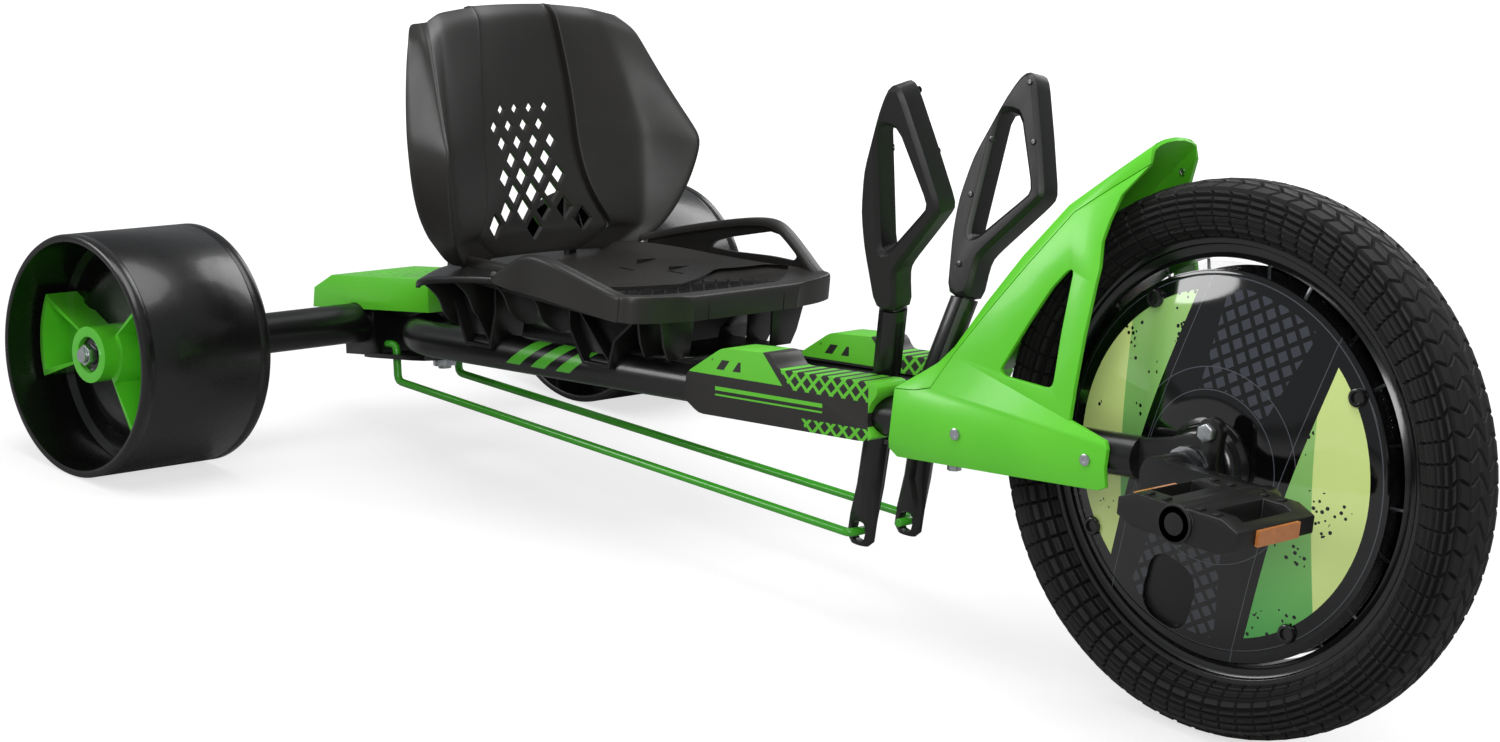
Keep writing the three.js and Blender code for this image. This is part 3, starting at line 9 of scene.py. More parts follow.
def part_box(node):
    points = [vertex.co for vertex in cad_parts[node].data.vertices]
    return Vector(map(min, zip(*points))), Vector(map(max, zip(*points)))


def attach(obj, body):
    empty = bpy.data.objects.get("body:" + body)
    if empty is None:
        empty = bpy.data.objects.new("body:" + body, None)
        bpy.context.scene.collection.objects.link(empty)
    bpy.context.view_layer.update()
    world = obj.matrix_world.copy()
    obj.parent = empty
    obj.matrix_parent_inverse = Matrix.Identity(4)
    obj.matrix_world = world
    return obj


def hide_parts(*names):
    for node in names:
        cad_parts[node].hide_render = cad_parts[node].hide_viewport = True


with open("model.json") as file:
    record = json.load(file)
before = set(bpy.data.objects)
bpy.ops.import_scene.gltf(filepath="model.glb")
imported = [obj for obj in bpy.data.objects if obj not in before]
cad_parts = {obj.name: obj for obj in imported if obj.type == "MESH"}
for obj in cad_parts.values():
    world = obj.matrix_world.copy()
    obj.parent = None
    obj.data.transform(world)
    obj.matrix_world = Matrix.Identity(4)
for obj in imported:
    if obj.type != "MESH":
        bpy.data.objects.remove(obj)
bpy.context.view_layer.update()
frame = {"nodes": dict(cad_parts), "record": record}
cadNodes = frame["nodes"]
record = frame["record"]
nodeBody = {node: body for body, members in record["behaviour"]["bodies"].items() for node in members}
print("stage: frame loaded")

mm = 0.001
layout = {"rearAxleX": -517.15, "rearAxleZ": 102.7, "wheelbase": 934, "hubZ": 203, "railZ": 108.72,
          "railFrom": 63.95, "railSlope": 0.11217, "railY": 60, "railRadius": 15.5}


def at(x, y, z):  # millimetres, X from the rear axle and Z from the floor
    return Vector((x + layout["rearAxleX"], y, z)) * mm


def railHeight(x):
    return layout["railZ"] + (x - layout["railFrom"]) * layout["railSlope"]


frontAxle = at(layout["wheelbase"], 0, layout["hubZ"])
rearAxle = at(0, 0, layout["rearAxleZ"])


# Camera at the photograph's angle, fitted to the wheels and the rails

view = {"place": (1.7220, -1.91545, 0.77842), "right": (0.7123, 0.6961, 0.0899),
        "ahead": (-0.6649, 0.7103, -0.2309), "lens": 78.958, "sensor": 36, "photo": (1500, 742)}


def viewAxes():
    ahead = Vector(view["ahead"]).normalized()
    right = Vector(view["right"])
    right = (right - ahead * right.dot(ahead)).normalized()
    return right, right.cross(ahead), ahead


def addCamera():
    right, up, ahead = viewAxes()
    data = bpy.data.cameras.new("camera")
    data.lens = view["lens"]
    data.sensor_width = view["sensor"]
    camera = bpy.data.objects.new("camera", data)
    bpy.context.scene.collection.objects.link(camera)
    turn = Matrix((right, up, -ahead)).transposed().to_4x4()
    camera.matrix_world = Matrix.Translation(Vector(view["place"])) @ turn
    bpy.context.scene.camera = camera


addCamera()
bpy.context.scene.view_settings.view_transform = "Standard"

# Materials


def linear(code):
    shades = [int(code[i:i + 2], 16) / 255 for i in (1, 3, 5)]
    return tuple(s / 12.92 if s <= 0.04045 else ((s + 0.055) / 1.055) ** 2.4 for s in shades) + (1.0,)


def addNode(tree, kind, inputs=(), output=0, **settings):  # an input is a value, or a socket to link
    node = tree.nodes.new("ShaderNode" + kind)
    for key, value in settings.items():
        setattr(node, key, value)
    for key, value in inputs.items() if isinstance(inputs, dict) else enumerate(inputs):
        if isinstance(value, bpy.types.NodeSocket):
            tree.links.new(value, node.inputs[key])
        else:
            node.inputs[key].default_value = value
    return node.outputs[output]


def newMaterial(name, settings):
    material = bpy.data.materials.new(name)
    material.use_nodes = True
    tree = material.node_tree
    shader = tree.nodes["Principled BSDF"]
    for key, value in settings.items():
        shader.inputs[key].default_value = value
    return material, tree, shader


def objectPlace(tree, centre=(0, 0, 0), turn=(0, 0, 0)):
    source = addNode(tree, "TexCoord", output="Object")
    away = addNode(tree, "VectorMath", (source, tuple(centre)), operation="SUBTRACT")
    return addNode(tree, "Mapping", {"Vector": away, "Rotation": turn}, vector_type="POINT")


def grains(place, size, detail=3.0):  # what a noise needs for grains of a size in millimetres
    return {"Vector": place, "Scale": 1 / (size * mm), "Detail": detail}


def allOf(tree, *masks):
    result = masks[0]
    for mask in masks[1:]:
        result = addNode(tree, "Math", (result, mask), operation="MULTIPLY")
    return result


def between(tree, value, low, high):  # limits in millimetres
    return allOf(tree, addNode(tree, "Math", (value, low * mm), operation="GREATER_THAN"),
                 addNode(tree, "Math", (value, high * mm), operation="LESS_THAN"))


def paintOver(tree, shader, mask, paint):  # lays a colour, or a socket's colours, over what the shader has
    before = shader.inputs["Base Color"].links[0].from_socket
    over = linear(paint) if isinstance(paint, str) else paint
    colour = addNode(tree, "Mix", {0: mask, 6: before, 7: over}, 2, data_type="RGBA")
    tree.links.new(colour, shader.inputs["Base Color"])


def squareCells(tree, along, up, width):  # distance from the middles of squares that stand on a corner
    flat = addNode(tree, "CombineXYZ", (along, up))
    grid = addNode(tree, "Mapping", {"Vector": flat, "Rotation": (0, 0, math.radians(45)),
                                     "Scale": (1 / (width * mm),) * 3})
    return addNode(tree, "TexVoronoi", {"Vector": grid, "Scale": 1.0, "Randomness": 0.0}, "Distance",
                   voronoi_dimensions="2D", distance="CHEBYCHEV")


def bumpFrom(tree, shader, heights):  # pairs of a height field and its depth in millimetres
    normal = {}
    for field, depth in heights:
        inputs = {"Strength": 1.0, "Distance": depth * mm, "Height": field}
        normal = {"Normal": addNode(tree, "Bump", {**inputs, **normal})}
    tree.links.new(normal["Normal"], shader.inputs["Normal"])


def mouldedFinish(name, finish):
    rough, patch = finish["roughness"], finish["patch"]
    settings = {"Roughness": rough, "Coat Weight": finish.get("coat", 0.0), "Coat Roughness": 0.1}
    settings.update({"Metallic": 1.0} if finish.get("metal") else {"IOR": 1.5})
    material, tree, shader = newMaterial(name, settings)
    place = objectPlace(tree)
    cloud = addNode(tree, "TexNoise", grains(place, finish.get("cloud", 60), 2.0), "Fac")
    shades = {0: cloud, 6: linear(finish["dark"]), 7: linear(finish["light"])}
    tree.links.new(addNode(tree, "Mix", shades, 2, data_type="RGBA"), shader.inputs["Base Color"])
    patches = addNode(tree, "TexNoise", grains(place, finish.get("patchSize", 25)), "Fac")
    rubbed = addNode(tree, "MapRange", {"Value": patches, "To Min": rough - patch, "To Max": rough + patch})
    tree.links.new(rubbed, shader.inputs["Roughness"])
    bumpFrom(tree, shader, [(addNode(tree, "TexNoise", grains(place, size, 2.0), "Fac"), depth)
                            for size, depth in finish["grains"]])
    return material


# Grains are pairs of a width and a depth in millimetres
finishes = {
    # Injection-moulded ABS, fine spark-eroded tool: bright, with a soft sheen on every bend
    "greenAbs": {"dark": "#58c925", "light": "#69d631", "roughness": 0.34, "patch": 0.04, "coat": 0.15,
                 "grains": [(1.2, 0.02), (40, 0.3)]},
    # Polished ABS inserts of the drum wheels: the same green, glossier and a little deeper
    "greenGlossAbs": {"dark": "#4cba22", "light": "#5fd030", "roughness": 0.2, "patch": 0.03, "coat": 0.4,
                      "grains": [(30, 0.35), (2.0, 0.01)]},
    # Painted steel rod: a thin darker green coat that pools in long waves
    "greenPaint": {"dark": "#34a01d", "light": "#4cbb2c", "roughness": 0.3, "patch": 0.04, "coat": 0.3,
                   "grains": [(6, 0.04)]},
    # Polypropylene seat, textured tool: charcoal with a leathery haze over broad highlights
    "charcoalPolypropylene": {"dark": "#1f1d1c", "light": "#2b2927", "roughness": 0.42, "patch": 0.05,
                              "grains": [(1.4, 0.05), (70, 0.8)]},
    # The same polypropylene on ribs, feet and skirts under the seat, where the tool is left smooth: glossier,
    # and painted darker as the shade that falls under the seat
    "smoothPolypropylene": {"dark": "#121110", "light": "#1a1918", "roughness": 0.34, "patch": 0.05,
                            "grains": [(50, 0.5)]},
    # Nylon grips and pedals: dense black with a fine matt bite
    "blackNylon": {"dark": "#0f0f0e", "light": "#181716", "roughness": 0.42, "patch": 0.05,
                   "grains": [(1.1, 0.04), (30, 0.2)]},
    # Rotary-moulded polyethylene drums: deep gloss whose wall ripples and bends its reflections
    "blackPolyethylene": {"dark": "#080808", "light": "#0f0e0e", "roughness": 0.28, "patch": 0.07,
                          "coat": 0.15, "cloud": 90, "grains": [(55, 1.1), (9, 0.07)]},
    # Gloss ABS caps and small mouldings: a clean, sharp shine
    "blackAbs": {"dark": "#0c0c0d", "light": "#141415", "roughness": 0.22, "patch": 0.03, "coat": 0.3,
                 "grains": [(25, 0.1)]},
    # Powder coat on steel tube: satin black with a faint orange peel
    "blackPowderCoat": {"dark": "#070707", "light": "#0d0d0d", "roughness": 0.33, "patch": 0.05, "coat": 0.2,
                        "grains": [(2.6, 0.03), (45, 0.2)]},
    # Zinc-plated steel: cool bright metal, slightly cloudy where the bath dried
    "zincPlate": {"dark": "#a9adb2", "light": "#d0d3d6", "roughness": 0.3, "patch": 0.08, "metal": True,
                  "cloud": 7, "patchSize": 4, "grains": [(1.5, 0.02)]},
    # Amber acrylic of the pedal reflectors: warm, with small cells that break up the light
    "amberAcrylic": {"dark": "#b06a35", "light": "#d98a4a", "roughness": 0.25, "patch": 0.05, "coat": 0.5,
                     "cloud": 6, "grains": [(2.5, 0.25)]},
}
materials = {name: mouldedFinish(name, finish) for name, finish in finishes.items()}

# Vulcanised rubber of the tyre: dusty black sidewalls with fine moulded rings
rubber = {"dark": "#131212", "light": "#1d1b1b", "tread": "#1c1b1b", "treadFrom": 198, "ringsTo": 178.5,
          "ringPitch": 3.4, "ringDepth": 0.16, "dust": 35, "grain": 1.6, "grainDepth": 0.08}


def tyreRubber():
    r = rubber
    material, tree, shader = newMaterial("vulcanisedRubber", {"Roughness": 0.62, "Specular IOR Level": 0.35})
    place = objectPlace(tree, frontAxle)
    flat = addNode(tree, "VectorMath", (place, (1, 0, 1)), operation="MULTIPLY")
    radius = addNode(tree, "VectorMath", (flat,), "Value", operation="LENGTH")
    dust = addNode(tree, "TexNoise", grains(place, r["dust"]), "Fac")
    shades = {0: dust, 6: linear(r["dark"]), 7: linear(r["light"])}
    tree.links.new(addNode(tree, "Mix", shades, 2, data_type="RGBA"), shader.inputs["Base Color"])
    onTread = addNode(tree, "Math", (radius, r["treadFrom"] * mm), operation="GREATER_THAN")
    paintOver(tree, shader, onTread, r["tread"])
    waves = addNode(tree, "Math", (radius, 2 * math.pi / (r["ringPitch"] * mm)), operation="MULTIPLY")
    rings = addNode(tree, "Math", (waves,), operation="SINE")
    onWall = addNode(tree, "Math", (radius, r["ringsTo"] * mm), operation="LESS_THAN")
    fine = addNode(tree, "TexNoise", grains(place, r["grain"]), "Fac")
    bumpFrom(tree, shader, [(allOf(tree, rings, onWall), r["ringDepth"]), (fine, r["grainDepth"])])
    return material


materials["rubber"] = tyreRubber()

# Vacuum-formed PETG disc, printed on its back: gloss over a flat print, clear round its border
printedDisc = {"band": 64, "tilt": 13, "facet": 88, "slant": 0.34, "print": 125.5, "border": 139,
               "dot": 10.5, "dotShare": 0.33, "dotsFrom": 56, "dotsTo": 128, "wedge": (22, 0.15),
               "lineRings": (55, 71, 135), "lineInset": 7, "lineHalf": 0.35,
               "fadeHalf": 100, "fadeShare": 0.45, "drop": 5, "dropShare": 0.3, "dropPatch": 34,
               "dropFrom": 0.56, "clearFrom": -90, "clearShare": 0.93, "black": "#09090a",
               "grey": "#3c3e46", "green": "#52ac54", "lime": "#d6ea92", "line": "#4a4e54",
               "fall": 0.19381, "rise": 45.9, "ripple": (70, 0.8)}


def discPrint(mirror):
    d = printedDisc
    material, tree, shader = newMaterial("printedPetg" + ("Left" if mirror < 0 else "Right"),
                                         {"Roughness": 0.08, "IOR": 1.57, "Coat Weight": 0.3,
                                          "Coat Roughness": 0.04, "Base Color": linear(d["black"])})
    place = objectPlace(tree, frontAxle, (0, -mirror * math.radians(d["tilt"]), 0))
    along, depth, up = addNode(tree, "SeparateXYZ", (place,)).node.outputs
    flat = addNode(tree, "CombineXYZ", (along, up))
    radius = addNode(tree, "VectorMath", (flat,), "Value", operation="LENGTH")
    aside = addNode(tree, "Math", (along,), operation="ABSOLUTE")
    # Black band across the middle, with a wedge of dots above and below the hub
    cells = squareCells(tree, along, up, d["dot"])
    dot = addNode(tree, "Math", (cells, d["dotShare"]), operation="LESS_THAN")
    height = addNode(tree, "Math", (up,), operation="ABSOLUTE")
    reach = addNode(tree, "Math", (height, d["wedge"][1], d["wedge"][0] * mm), operation="MULTIPLY_ADD")
    wedge = addNode(tree, "Math", (aside, reach), operation="LESS_THAN")
    dots = allOf(tree, dot, wedge, between(tree, radius, d["dotsFrom"], d["dotsTo"]))
    band = addNode(tree, "Mix", {0: dots, 6: linear(d["black"]), 7: linear(d["grey"])}, 2, data_type="RGBA")
    tree.links.new(band, shader.inputs["Base Color"])
    for value, middle in [(radius, ring) for ring in d["lineRings"]] + [(aside, d["band"] - d["lineInset"])]:
        line = between(tree, value, middle - d["lineHalf"], middle + d["lineHalf"])
        paintOver(tree, shader, line, d["line"])
    # Two coloured segments: green that fades upwards beside the band, and a lime facet outside it
    half = d["fadeHalf"] * mm
    fade = addNode(tree, "MapRange", {"Value": up, "From Min": -half, "From Max": half, "To Min": 0.0,
                                      "To Max": d["fadeShare"]})
    green = addNode(tree, "Mix", {0: fade, 6: linear(d["green"]), 7: linear(d["lime"])}, 2, data_type="RGBA")
    slanted = addNode(tree, "Math", (up, d["slant"], along), operation="MULTIPLY_ADD")
    leaning = addNode(tree, "Math", (slanted,), operation="ABSOLUTE")
    facet = addNode(tree, "Math", (leaning, d["facet"] * mm), operation="GREATER_THAN")
    paint = addNode(tree, "Mix", {0: facet, 6: green, 7: linear(d["lime"])}, 2, data_type="RGBA")
    spots = addNode(tree, "TexVoronoi", {"Vector": place, "Scale": 1 / (d["drop"] * mm)}, "Distance")
    cloud = addNode(tree, "TexNoise", grains(place, d["dropPatch"]), "Fac")
    sparse = addNode(tree, "Math", (cloud, d["dropFrom"]), operation="GREATER_THAN")
    size = addNode(tree, "Math", (sparse, d["dropShare"]), operation="MULTIPLY")
    drop = addNode(tree, "Math", (spots, size), operation="LESS_THAN")
    paint = addNode(tree, "Mix", {0: drop, 6: paint, 7: linear(d["black"])}, 2, data_type="RGBA")
    segment = allOf(tree, addNode(tree, "Math", (aside, d["band"] * mm), operation="GREATER_THAN"),
                    addNode(tree, "Math", (radius, d["print"] * mm), operation="LESS_THAN"))
    paintOver(tree, shader, segment, paint)
    # The back of the disc is plain black, and its border is clear in the upper half
    face = addNode(tree, "Math", (radius, -d["fall"], d["rise"] * mm), operation="MULTIPLY_ADD")
    inward = addNode(tree, "Math", (depth,), operation="ABSOLUTE")
    paintOver(tree, shader, addNode(tree, "Math", (inward, face), operation="LESS_THAN"), d["black"])
    above = addNode(tree, "MapRange", {"Value": up, "From Min": d["clearFrom"] * mm, "From Max": 0.0,
                                       "To Min": 0.0, "To Max": 1.0})
    border = addNode(tree, "Math", (radius, d["border"] * mm), operation="GREATER_THAN")
    seen = addNode(tree, "Math", (allOf(tree, border, above), -d["clearShare"], 1.0), operation="MULTIPLY_ADD")
    tree.links.new(seen, shader.inputs["Alpha"])
    size, height = d["ripple"]
    bumpFrom(tree, shader, [(addNode(tree, "TexNoise", grains(place, size, 1.0), "Fac"), height)])
    return material


materials["discRight"] = discPrint(1)
materials["discLeft"] = discPrint(-1)

# Powder-coated hairpin with three slanted stripes of vinyl film on each rail
stripes = {"from": 241, "pitch": 31, "width": 17, "count": 3, "lean": 1.45, "low": -6, "high": 15, "clear": 2,
           "film": "#4fae2e"}


def railPlace(tree, x):  # along the rail, across it and up from it, from a place on its centre line
    turn = math.atan(layout["railSlope"])
    place = objectPlace(tree, at(x, 0, railHeight(x)), (0, turn, 0))
    return addNode(tree, "SeparateXYZ", (place,)).node.outputs


def stripedPaint():
    material = materials["blackPowderCoat"].copy()
    material.name = "powderCoatWithFilm"
    tree = material.node_tree
    s = stripes
    along, across, up = railPlace(tree, layout["railFrom"])
    along = addNode(tree, "Math", (up, -s["lean"], along), operation="MULTIPLY_ADD")
    along = addNode(tree, "Math", (along, (s["from"] - layout["railFrom"]) * mm), operation="SUBTRACT")
    later = addNode(tree, "Math", (along, s["pitch"] * mm), operation="ADD")
    step = addNode(tree, "Math", (later, s["pitch"] * mm), operation="MODULO")
    aside = addNode(tree, "Math", (across,), operation="ABSOLUTE")
    outer = addNode(tree, "Math", (aside, (layout["railY"] + s["clear"]) * mm), operation="GREATER_THAN")
    mask = allOf(tree, addNode(tree, "Math", (step, s["width"] * mm), operation="LESS_THAN"), outer,
                 between(tree, along, 0, s["pitch"] * s["count"]), between(tree, up, s["low"], s["high"]))
    paintOver(tree, tree.nodes["Principled BSDF"], mask, s["film"])
    return material


materials["stripedPaint"] = stripedPaint()

# Polypropylene rail cover with a printed film: a green panel on its hump, a lattice along its top.
# Limits are two ends along the rail, with a lean before them where they slant, or two heights.
coverFilm = {"rear": 452, "lattice": 9, "line": 0.15, "green": "#62c62f",
             "hump": {"rear": (-1.0, -24, 200), "front": (0.9, -10, 120), "height": (14, 60)},
             "bars": {"lean": -0.8, "start": 6, "half": 9, "width": 4.2, "along": (30, 62),
                      "height": (19, 27)},
             "strip": {"along": (0.9, 128, 400), "height": (12, 60)},
             "low": {"along": (0.9, 118, 400), "height": (-40, -9)},
             "rules": {"along": (34, 150), "heights": [(2.0, 5.2), (-2.2, -0.8)]}, "end": (197.5, 260)}


def railFilm():
    material = materials["charcoalPolypropylene"].copy()
    material.name = "polypropyleneWithFilm"
    tree = material.node_tree
    c = coverFilm
    along, across, up = railPlace(tree, c["rear"])

    def leaning(lean, low, high):
        return between(tree, addNode(tree, "Math", (up, lean, along), operation="MULTIPLY_ADD"), low, high)

    cells = squareCells(tree, along, up, c["lattice"])
    lattice = addNode(tree, "Math", (cells, 0.5 - c["line"]), operation="GREATER_THAN")
    hump = allOf(tree, leaning(*c["hump"]["rear"]), leaning(*c["hump"]["front"]),
                 between(tree, up, *c["hump"]["height"]))
    bars = c["bars"]
    slant = addNode(tree, "Math", (up, bars["lean"], along), operation="MULTIPLY_ADD")
    slant = addNode(tree, "Math", (slant, bars["start"] * mm), operation="SUBTRACT")
    wave = addNode(tree, "Math", (slant, bars["half"] * mm), operation="PINGPONG")
    motif = allOf(tree, between(tree, wave, 0, bars["width"]), between(tree, along, *bars["along"]),
                  between(tree, up, *bars["height"]))
    green = [hump, between(tree, along, *c["end"])]
    for part in (c["strip"], c["low"]):
        green.append(allOf(tree, leaning(*part["along"]), between(tree, up, *part["height"]), lattice))
    for height in c["rules"]["heights"]:
        green.append(allOf(tree, between(tree, along, *c["rules"]["along"]), between(tree, up, *height)))
    shown = green[0]
    for part in green[1:]:
        shown = addNode(tree, "Math", (shown, part), operation="MAXIMUM")
    bare = addNode(tree, "Math", (1.0, motif), operation="SUBTRACT")
    paintOver(tree, tree.nodes["Principled BSDF"], allOf(tree, shown, bare), c["green"])
    return material


materials["railFilm"] = railFilm()
print("stage: materials made")

# Floor, backdrop and soft lamps

studio = {"floor": "#9d9d9c", "floorSize": 14, "near": 0.9, "far": 2.6, "lift": 0.68, "aim": (0, 0, 0.2),
          "world": "#dfe2e6", "worldStrength": 0.36,
          "lamps": [{"place": (0.2, -0.3, 2.6), "size": 2.4, "power": 54},
                    {"place": (2.3, -2.4, 1.5), "size": 1.3, "power": 38},
                    {"place": (-2.0, -2.2, 1.3), "size": 1.2, "power": 26},
                    {"place": (-0.6, 2.6, 1.9), "size": 2.0, "power": 32}]}


def addStudio():
    bpy.ops.object.select_all(action="DESELECT")
    bpy.ops.mesh.primitive_plane_add(size=studio["floorSize"], location=(0, 0, 0))
    floor = bpy.context.object
    floor.name = "floor"
    # Matt paper that the camera sees lifted towards white, more so away from the trike's shadow
    paper = {"Base Color": linear(studio["floor"]), "Roughness": 0.9, "Emission Color": (1, 1, 1, 1)}
    material, tree, shader = newMaterial("paperFloor", paper)
    rays = addNode(tree, "LightPath").node.outputs
    seen = addNode(tree, "Math", (rays["Is Camera Ray"], rays["Is Transmission Ray"]), operation="MAXIMUM")
    place = addNode(tree, "TexCoord", output="Object")
    away = addNode(tree, "VectorMath", (place,), "Value", operation="LENGTH")
    limits = {"From Min": studio["near"], "From Max": studio["far"], "To Min": studio["lift"], "To Max": 1.0}
    fade = addNode(tree, "MapRange", {"Value": away, **limits}, interpolation_type="SMOOTHSTEP")
    tree.links.new(allOf(tree, seen, fade), shader.inputs["Emission Strength"])
    floor.data.materials.append(material)
    world = bpy.context.scene.world or bpy.data.worlds.new("world")
    bpy.context.scene.world = world
    world.use_nodes = True
    tree = world.node_tree
    tree.nodes.clear()
    rays = addNode(tree, "LightPath").node.outputs
    seen = addNode(tree, "Math", (rays["Is Camera Ray"], rays["Is Transmission Ray"]), operation="MAXIMUM")
    soft = addNode(tree, "Background", (linear(studio["world"]), studio["worldStrength"]))
    white = addNode(tree, "Background", ((1, 1, 1, 1), 1.0))
    sky = tree.nodes.new("ShaderNodeOutputWorld")
    tree.links.new(addNode(tree, "MixShader", (seen, soft, white)), sky.inputs["Surface"])
    for index, lamp in enumerate(studio["lamps"]):
        data = bpy.data.lights.new(f"softbox{index}", "AREA")
        data.shape = "DISK"
        data.size = lamp["size"]
        data.energy = lamp["power"]
        light = bpy.data.objects.new(f"softbox{index}", data)
        bpy.context.scene.collection.objects.link(light)
        light.location = lamp["place"]
        light.rotation_euler = (Vector(studio["aim"]) - light.location).to_track_quat("-Z", "Y").to_euler()


addStudio()
print("stage: studio lit")

# Modelling helpers


def pick(*objects):
    bpy.ops.object.select_all(action="DESELECT")
    for obj in objects:
        obj.select_set(True)
    bpy.context.view_layer.objects.active = objects[0]


def modify(obj, kind, **settings):
    pick(obj)
    modifier = obj.modifiers.new(kind.lower(), kind)
    for key, value in settings.items():
        setattr(modifier, key, value)
    bpy.ops.object.modifier_apply(modifier=modifier.name)


def roundEdges(obj, width, steps=3, angle=30):
    modify(obj, "BEVEL", width=width * mm, segments=steps, limit_method="ANGLE",
           angle_limit=math.radians(angle))


def smooth(obj, angle=38):
    pick(obj)
    bpy.ops.object.shade_smooth_by_angle(angle=math.radians(angle))


def inEdit(obj, *steps):
    pick(obj)
    bpy.ops.object.mode_set(mode="EDIT")
    bpy.ops.mesh.select_all(action="SELECT")
    for step in steps:
        step()
    bpy.ops.object.mode_set(mode="OBJECT")


facing = 0.9  # the least share of a face's normal along a side for the face to lie towards it


def facesOf(obj, chosen, *steps):  # runs edit steps on the faces that pass
    for face in obj.data.polygons:
        face.select = chosen(face)
    pick(obj)
    bpy.ops.object.mode_set(mode="EDIT")
    bpy.ops.mesh.select_mode(type="FACE")
    for step in steps:
        step()
    bpy.ops.object.mode_set(mode="OBJECT")


def weld():
    bpy.ops.mesh.remove_doubles(threshold=0.00002)


def outward():
    bpy.ops.mesh.normals_make_consistent(inside=False)


# Finishes a piece: edges and shading where asked, its place put into its mesh, then its material and body
def settle(obj, name, material, node=None, edge=None, shade=None, body=None, replaced=()):
    if edge:
        roundEdges(obj, *edge)
    if shade:
        smooth(obj, shade)
    pick(obj)
    bpy.ops.object.transform_apply(location=True, rotation=True, scale=True)
    obj.name = name
    obj.data.name = name
    obj.data.materials.clear()
    obj.data.materials.append(materials[material])
    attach(obj, body or nodeBody[node])
    if replaced:
        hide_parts(*replaced)


def plainName(node):
    first, *rest = node.split("_")
    return first + ("".join(word.capitalize() for word in rest) or "Moulding")


def copyOf(model, place=Matrix()):
    obj = bpy.data.objects.new(model.name, model.data.copy())
    bpy.context.scene.collection.objects.link(obj)
    obj.matrix_world = place
    return obj


def boxOf(size):  # three widths in millimetres
    bpy.ops.object.select_all(action="DESELECT")
    bpy.ops.mesh.primitive_cube_add(size=1, location=(0, 0, 0))
    obj = bpy.context.object
    obj.scale = Vector(size) * mm
    bpy.ops.object.transform_apply(location=False, rotation=False, scale=True)
    return obj


def turned(angle, axis="Y"):
    return Matrix.Rotation(angle, 4, axis)


def copyNode(node):
    obj = copyOf(cadNodes[node])
    pick(obj)
    if obj.data.has_custom_normals:
        bpy.ops.mesh.customdata_custom_splitnormals_clear()
    inEdit(obj, weld, lambda: bpy.ops.mesh.dissolve_limited(angle_limit=math.radians(1)))
    return obj


# Nodes whose CAD form is right, by name or by the name that a right and a left one share: their edges are
# rounded and their finish is put on
softened = {
    "shroud": {"width": 1.5, "material": "greenAbs"},
    "fender": {"width": 1.2, "material": "greenAbs"},
    "deck_cover": {"width": 1.4, "material": "greenAbs", "steps": 2},
    "wheel_insert": {"width": 1.6, "material": "greenGlossAbs"},
    "rail_cover": {"width": 1.6, "material": "railFilm"},
    "main_frame": {"width": 1.0, "material": "stripedPaint", "steps": 2},
    "front_bracket": {"width": 1.2, "material": "blackPowderCoat"},
    "truck_frame": {"width": 1.2, "material": "blackPowderCoat"},
    "axle_tube": {"width": 1.0, "material": "blackPowderCoat"},
    "crank_arm": {"width": 2.2, "material": "blackPowderCoat"},
    "lever_tube": {"width": 0.9, "material": "blackPowderCoat"},
    "lever_grip": {"width": 3.0, "material": "blackNylon", "steps": 4, "angle": 22},
    "pedal_body": {"width": 1.6, "material": "blackNylon"},
    "steering_rod": {"width": 0.5, "material": "greenPaint", "angle": 60, "smooth": 60},
    "axle_plug": {"width": 0.6, "material": "blackAbs"},
    "wheel_bush": {"width": 0.8, "material": "blackAbs"},
    "clamp_bolt": {"width": 0.8, "material": "zincPlate"},
    "axle_nut": {"width": 1.0, "material": "zincPlate"},
    "kingpin_bolt": {"width": 0.9, "material": "zincPlate"},
    "kingpin_nut": {"width": 0.9, "material": "zincPlate"},
    "bracket_bolt": {"width": 0.9, "material": "zincPlate"},
}


def namesOf(stem):
    return [node for node in (stem, stem + "_right", stem + "_left") if node in cadNodes]


for stem, form in softened.items():
    for node in namesOf(stem):
        edge = (form["width"], form.get("steps", 3), form.get("angle", 30))
        settle(copyNode(node), plainName(node), form["material"], node, edge=edge,
               shade=form.get("smooth", 38), replaced=[node])

# Small hardware that stays as it is and takes a finish
plainFinishes = {
    "zincPlate": ["axle_shaft", "axle_bearing", "lever_pivot_shaft", "crank_axle", "pedal_spindle",
                  "wheel_hub"],
    "blackAbs": ["kingpin_bush_upper", "kingpin_bush_lower", "lever_spacer", "pivot_collar"],
    "amberAcrylic": [node for node in cadNodes if "reflector" in node],
}
for material, stems in plainFinishes.items():
    for node in (node for stem in stems for node in namesOf(stem)):
        data = cadNodes[node].data
        data.materials.clear()
        data.materials.append(materials[material])
print("stage: CAD pieces finished")

# Turned pieces, spun round an axle that lies along Y, and the steps round each kind
around = {"rim": 144, "disc": 128, "clip": 28, "hubCap": 72, "drum": 120, "pedalCap": 32}


def spun(profile, steps, centre):
    bpy.ops.object.select_all(action="DESELECT")
    bpy.ops.mesh.primitive_circle_add(vertices=len(profile), radius=0.01, location=(0, 0, 0))
    obj = bpy.context.object
    for vertex, (radius, across) in zip(obj.data.vertices, profile):
        vertex.co = centre + Vector((radius, across, 0)) * mm
    inEdit(obj,
           lambda: bpy.ops.mesh.spin(steps=steps, angle=2 * math.pi, center=centre, axis=(0, 1, 0)),
           lambda: bpy.ops.mesh.select_all(action="SELECT"),
           weld, outward)
    return obj


def mirroredProfile(half):
    return half + [(r, -y) for r, y in reversed(half)]


def onSide(profile, side):
    return [(r, y * side) for r, y in profile]


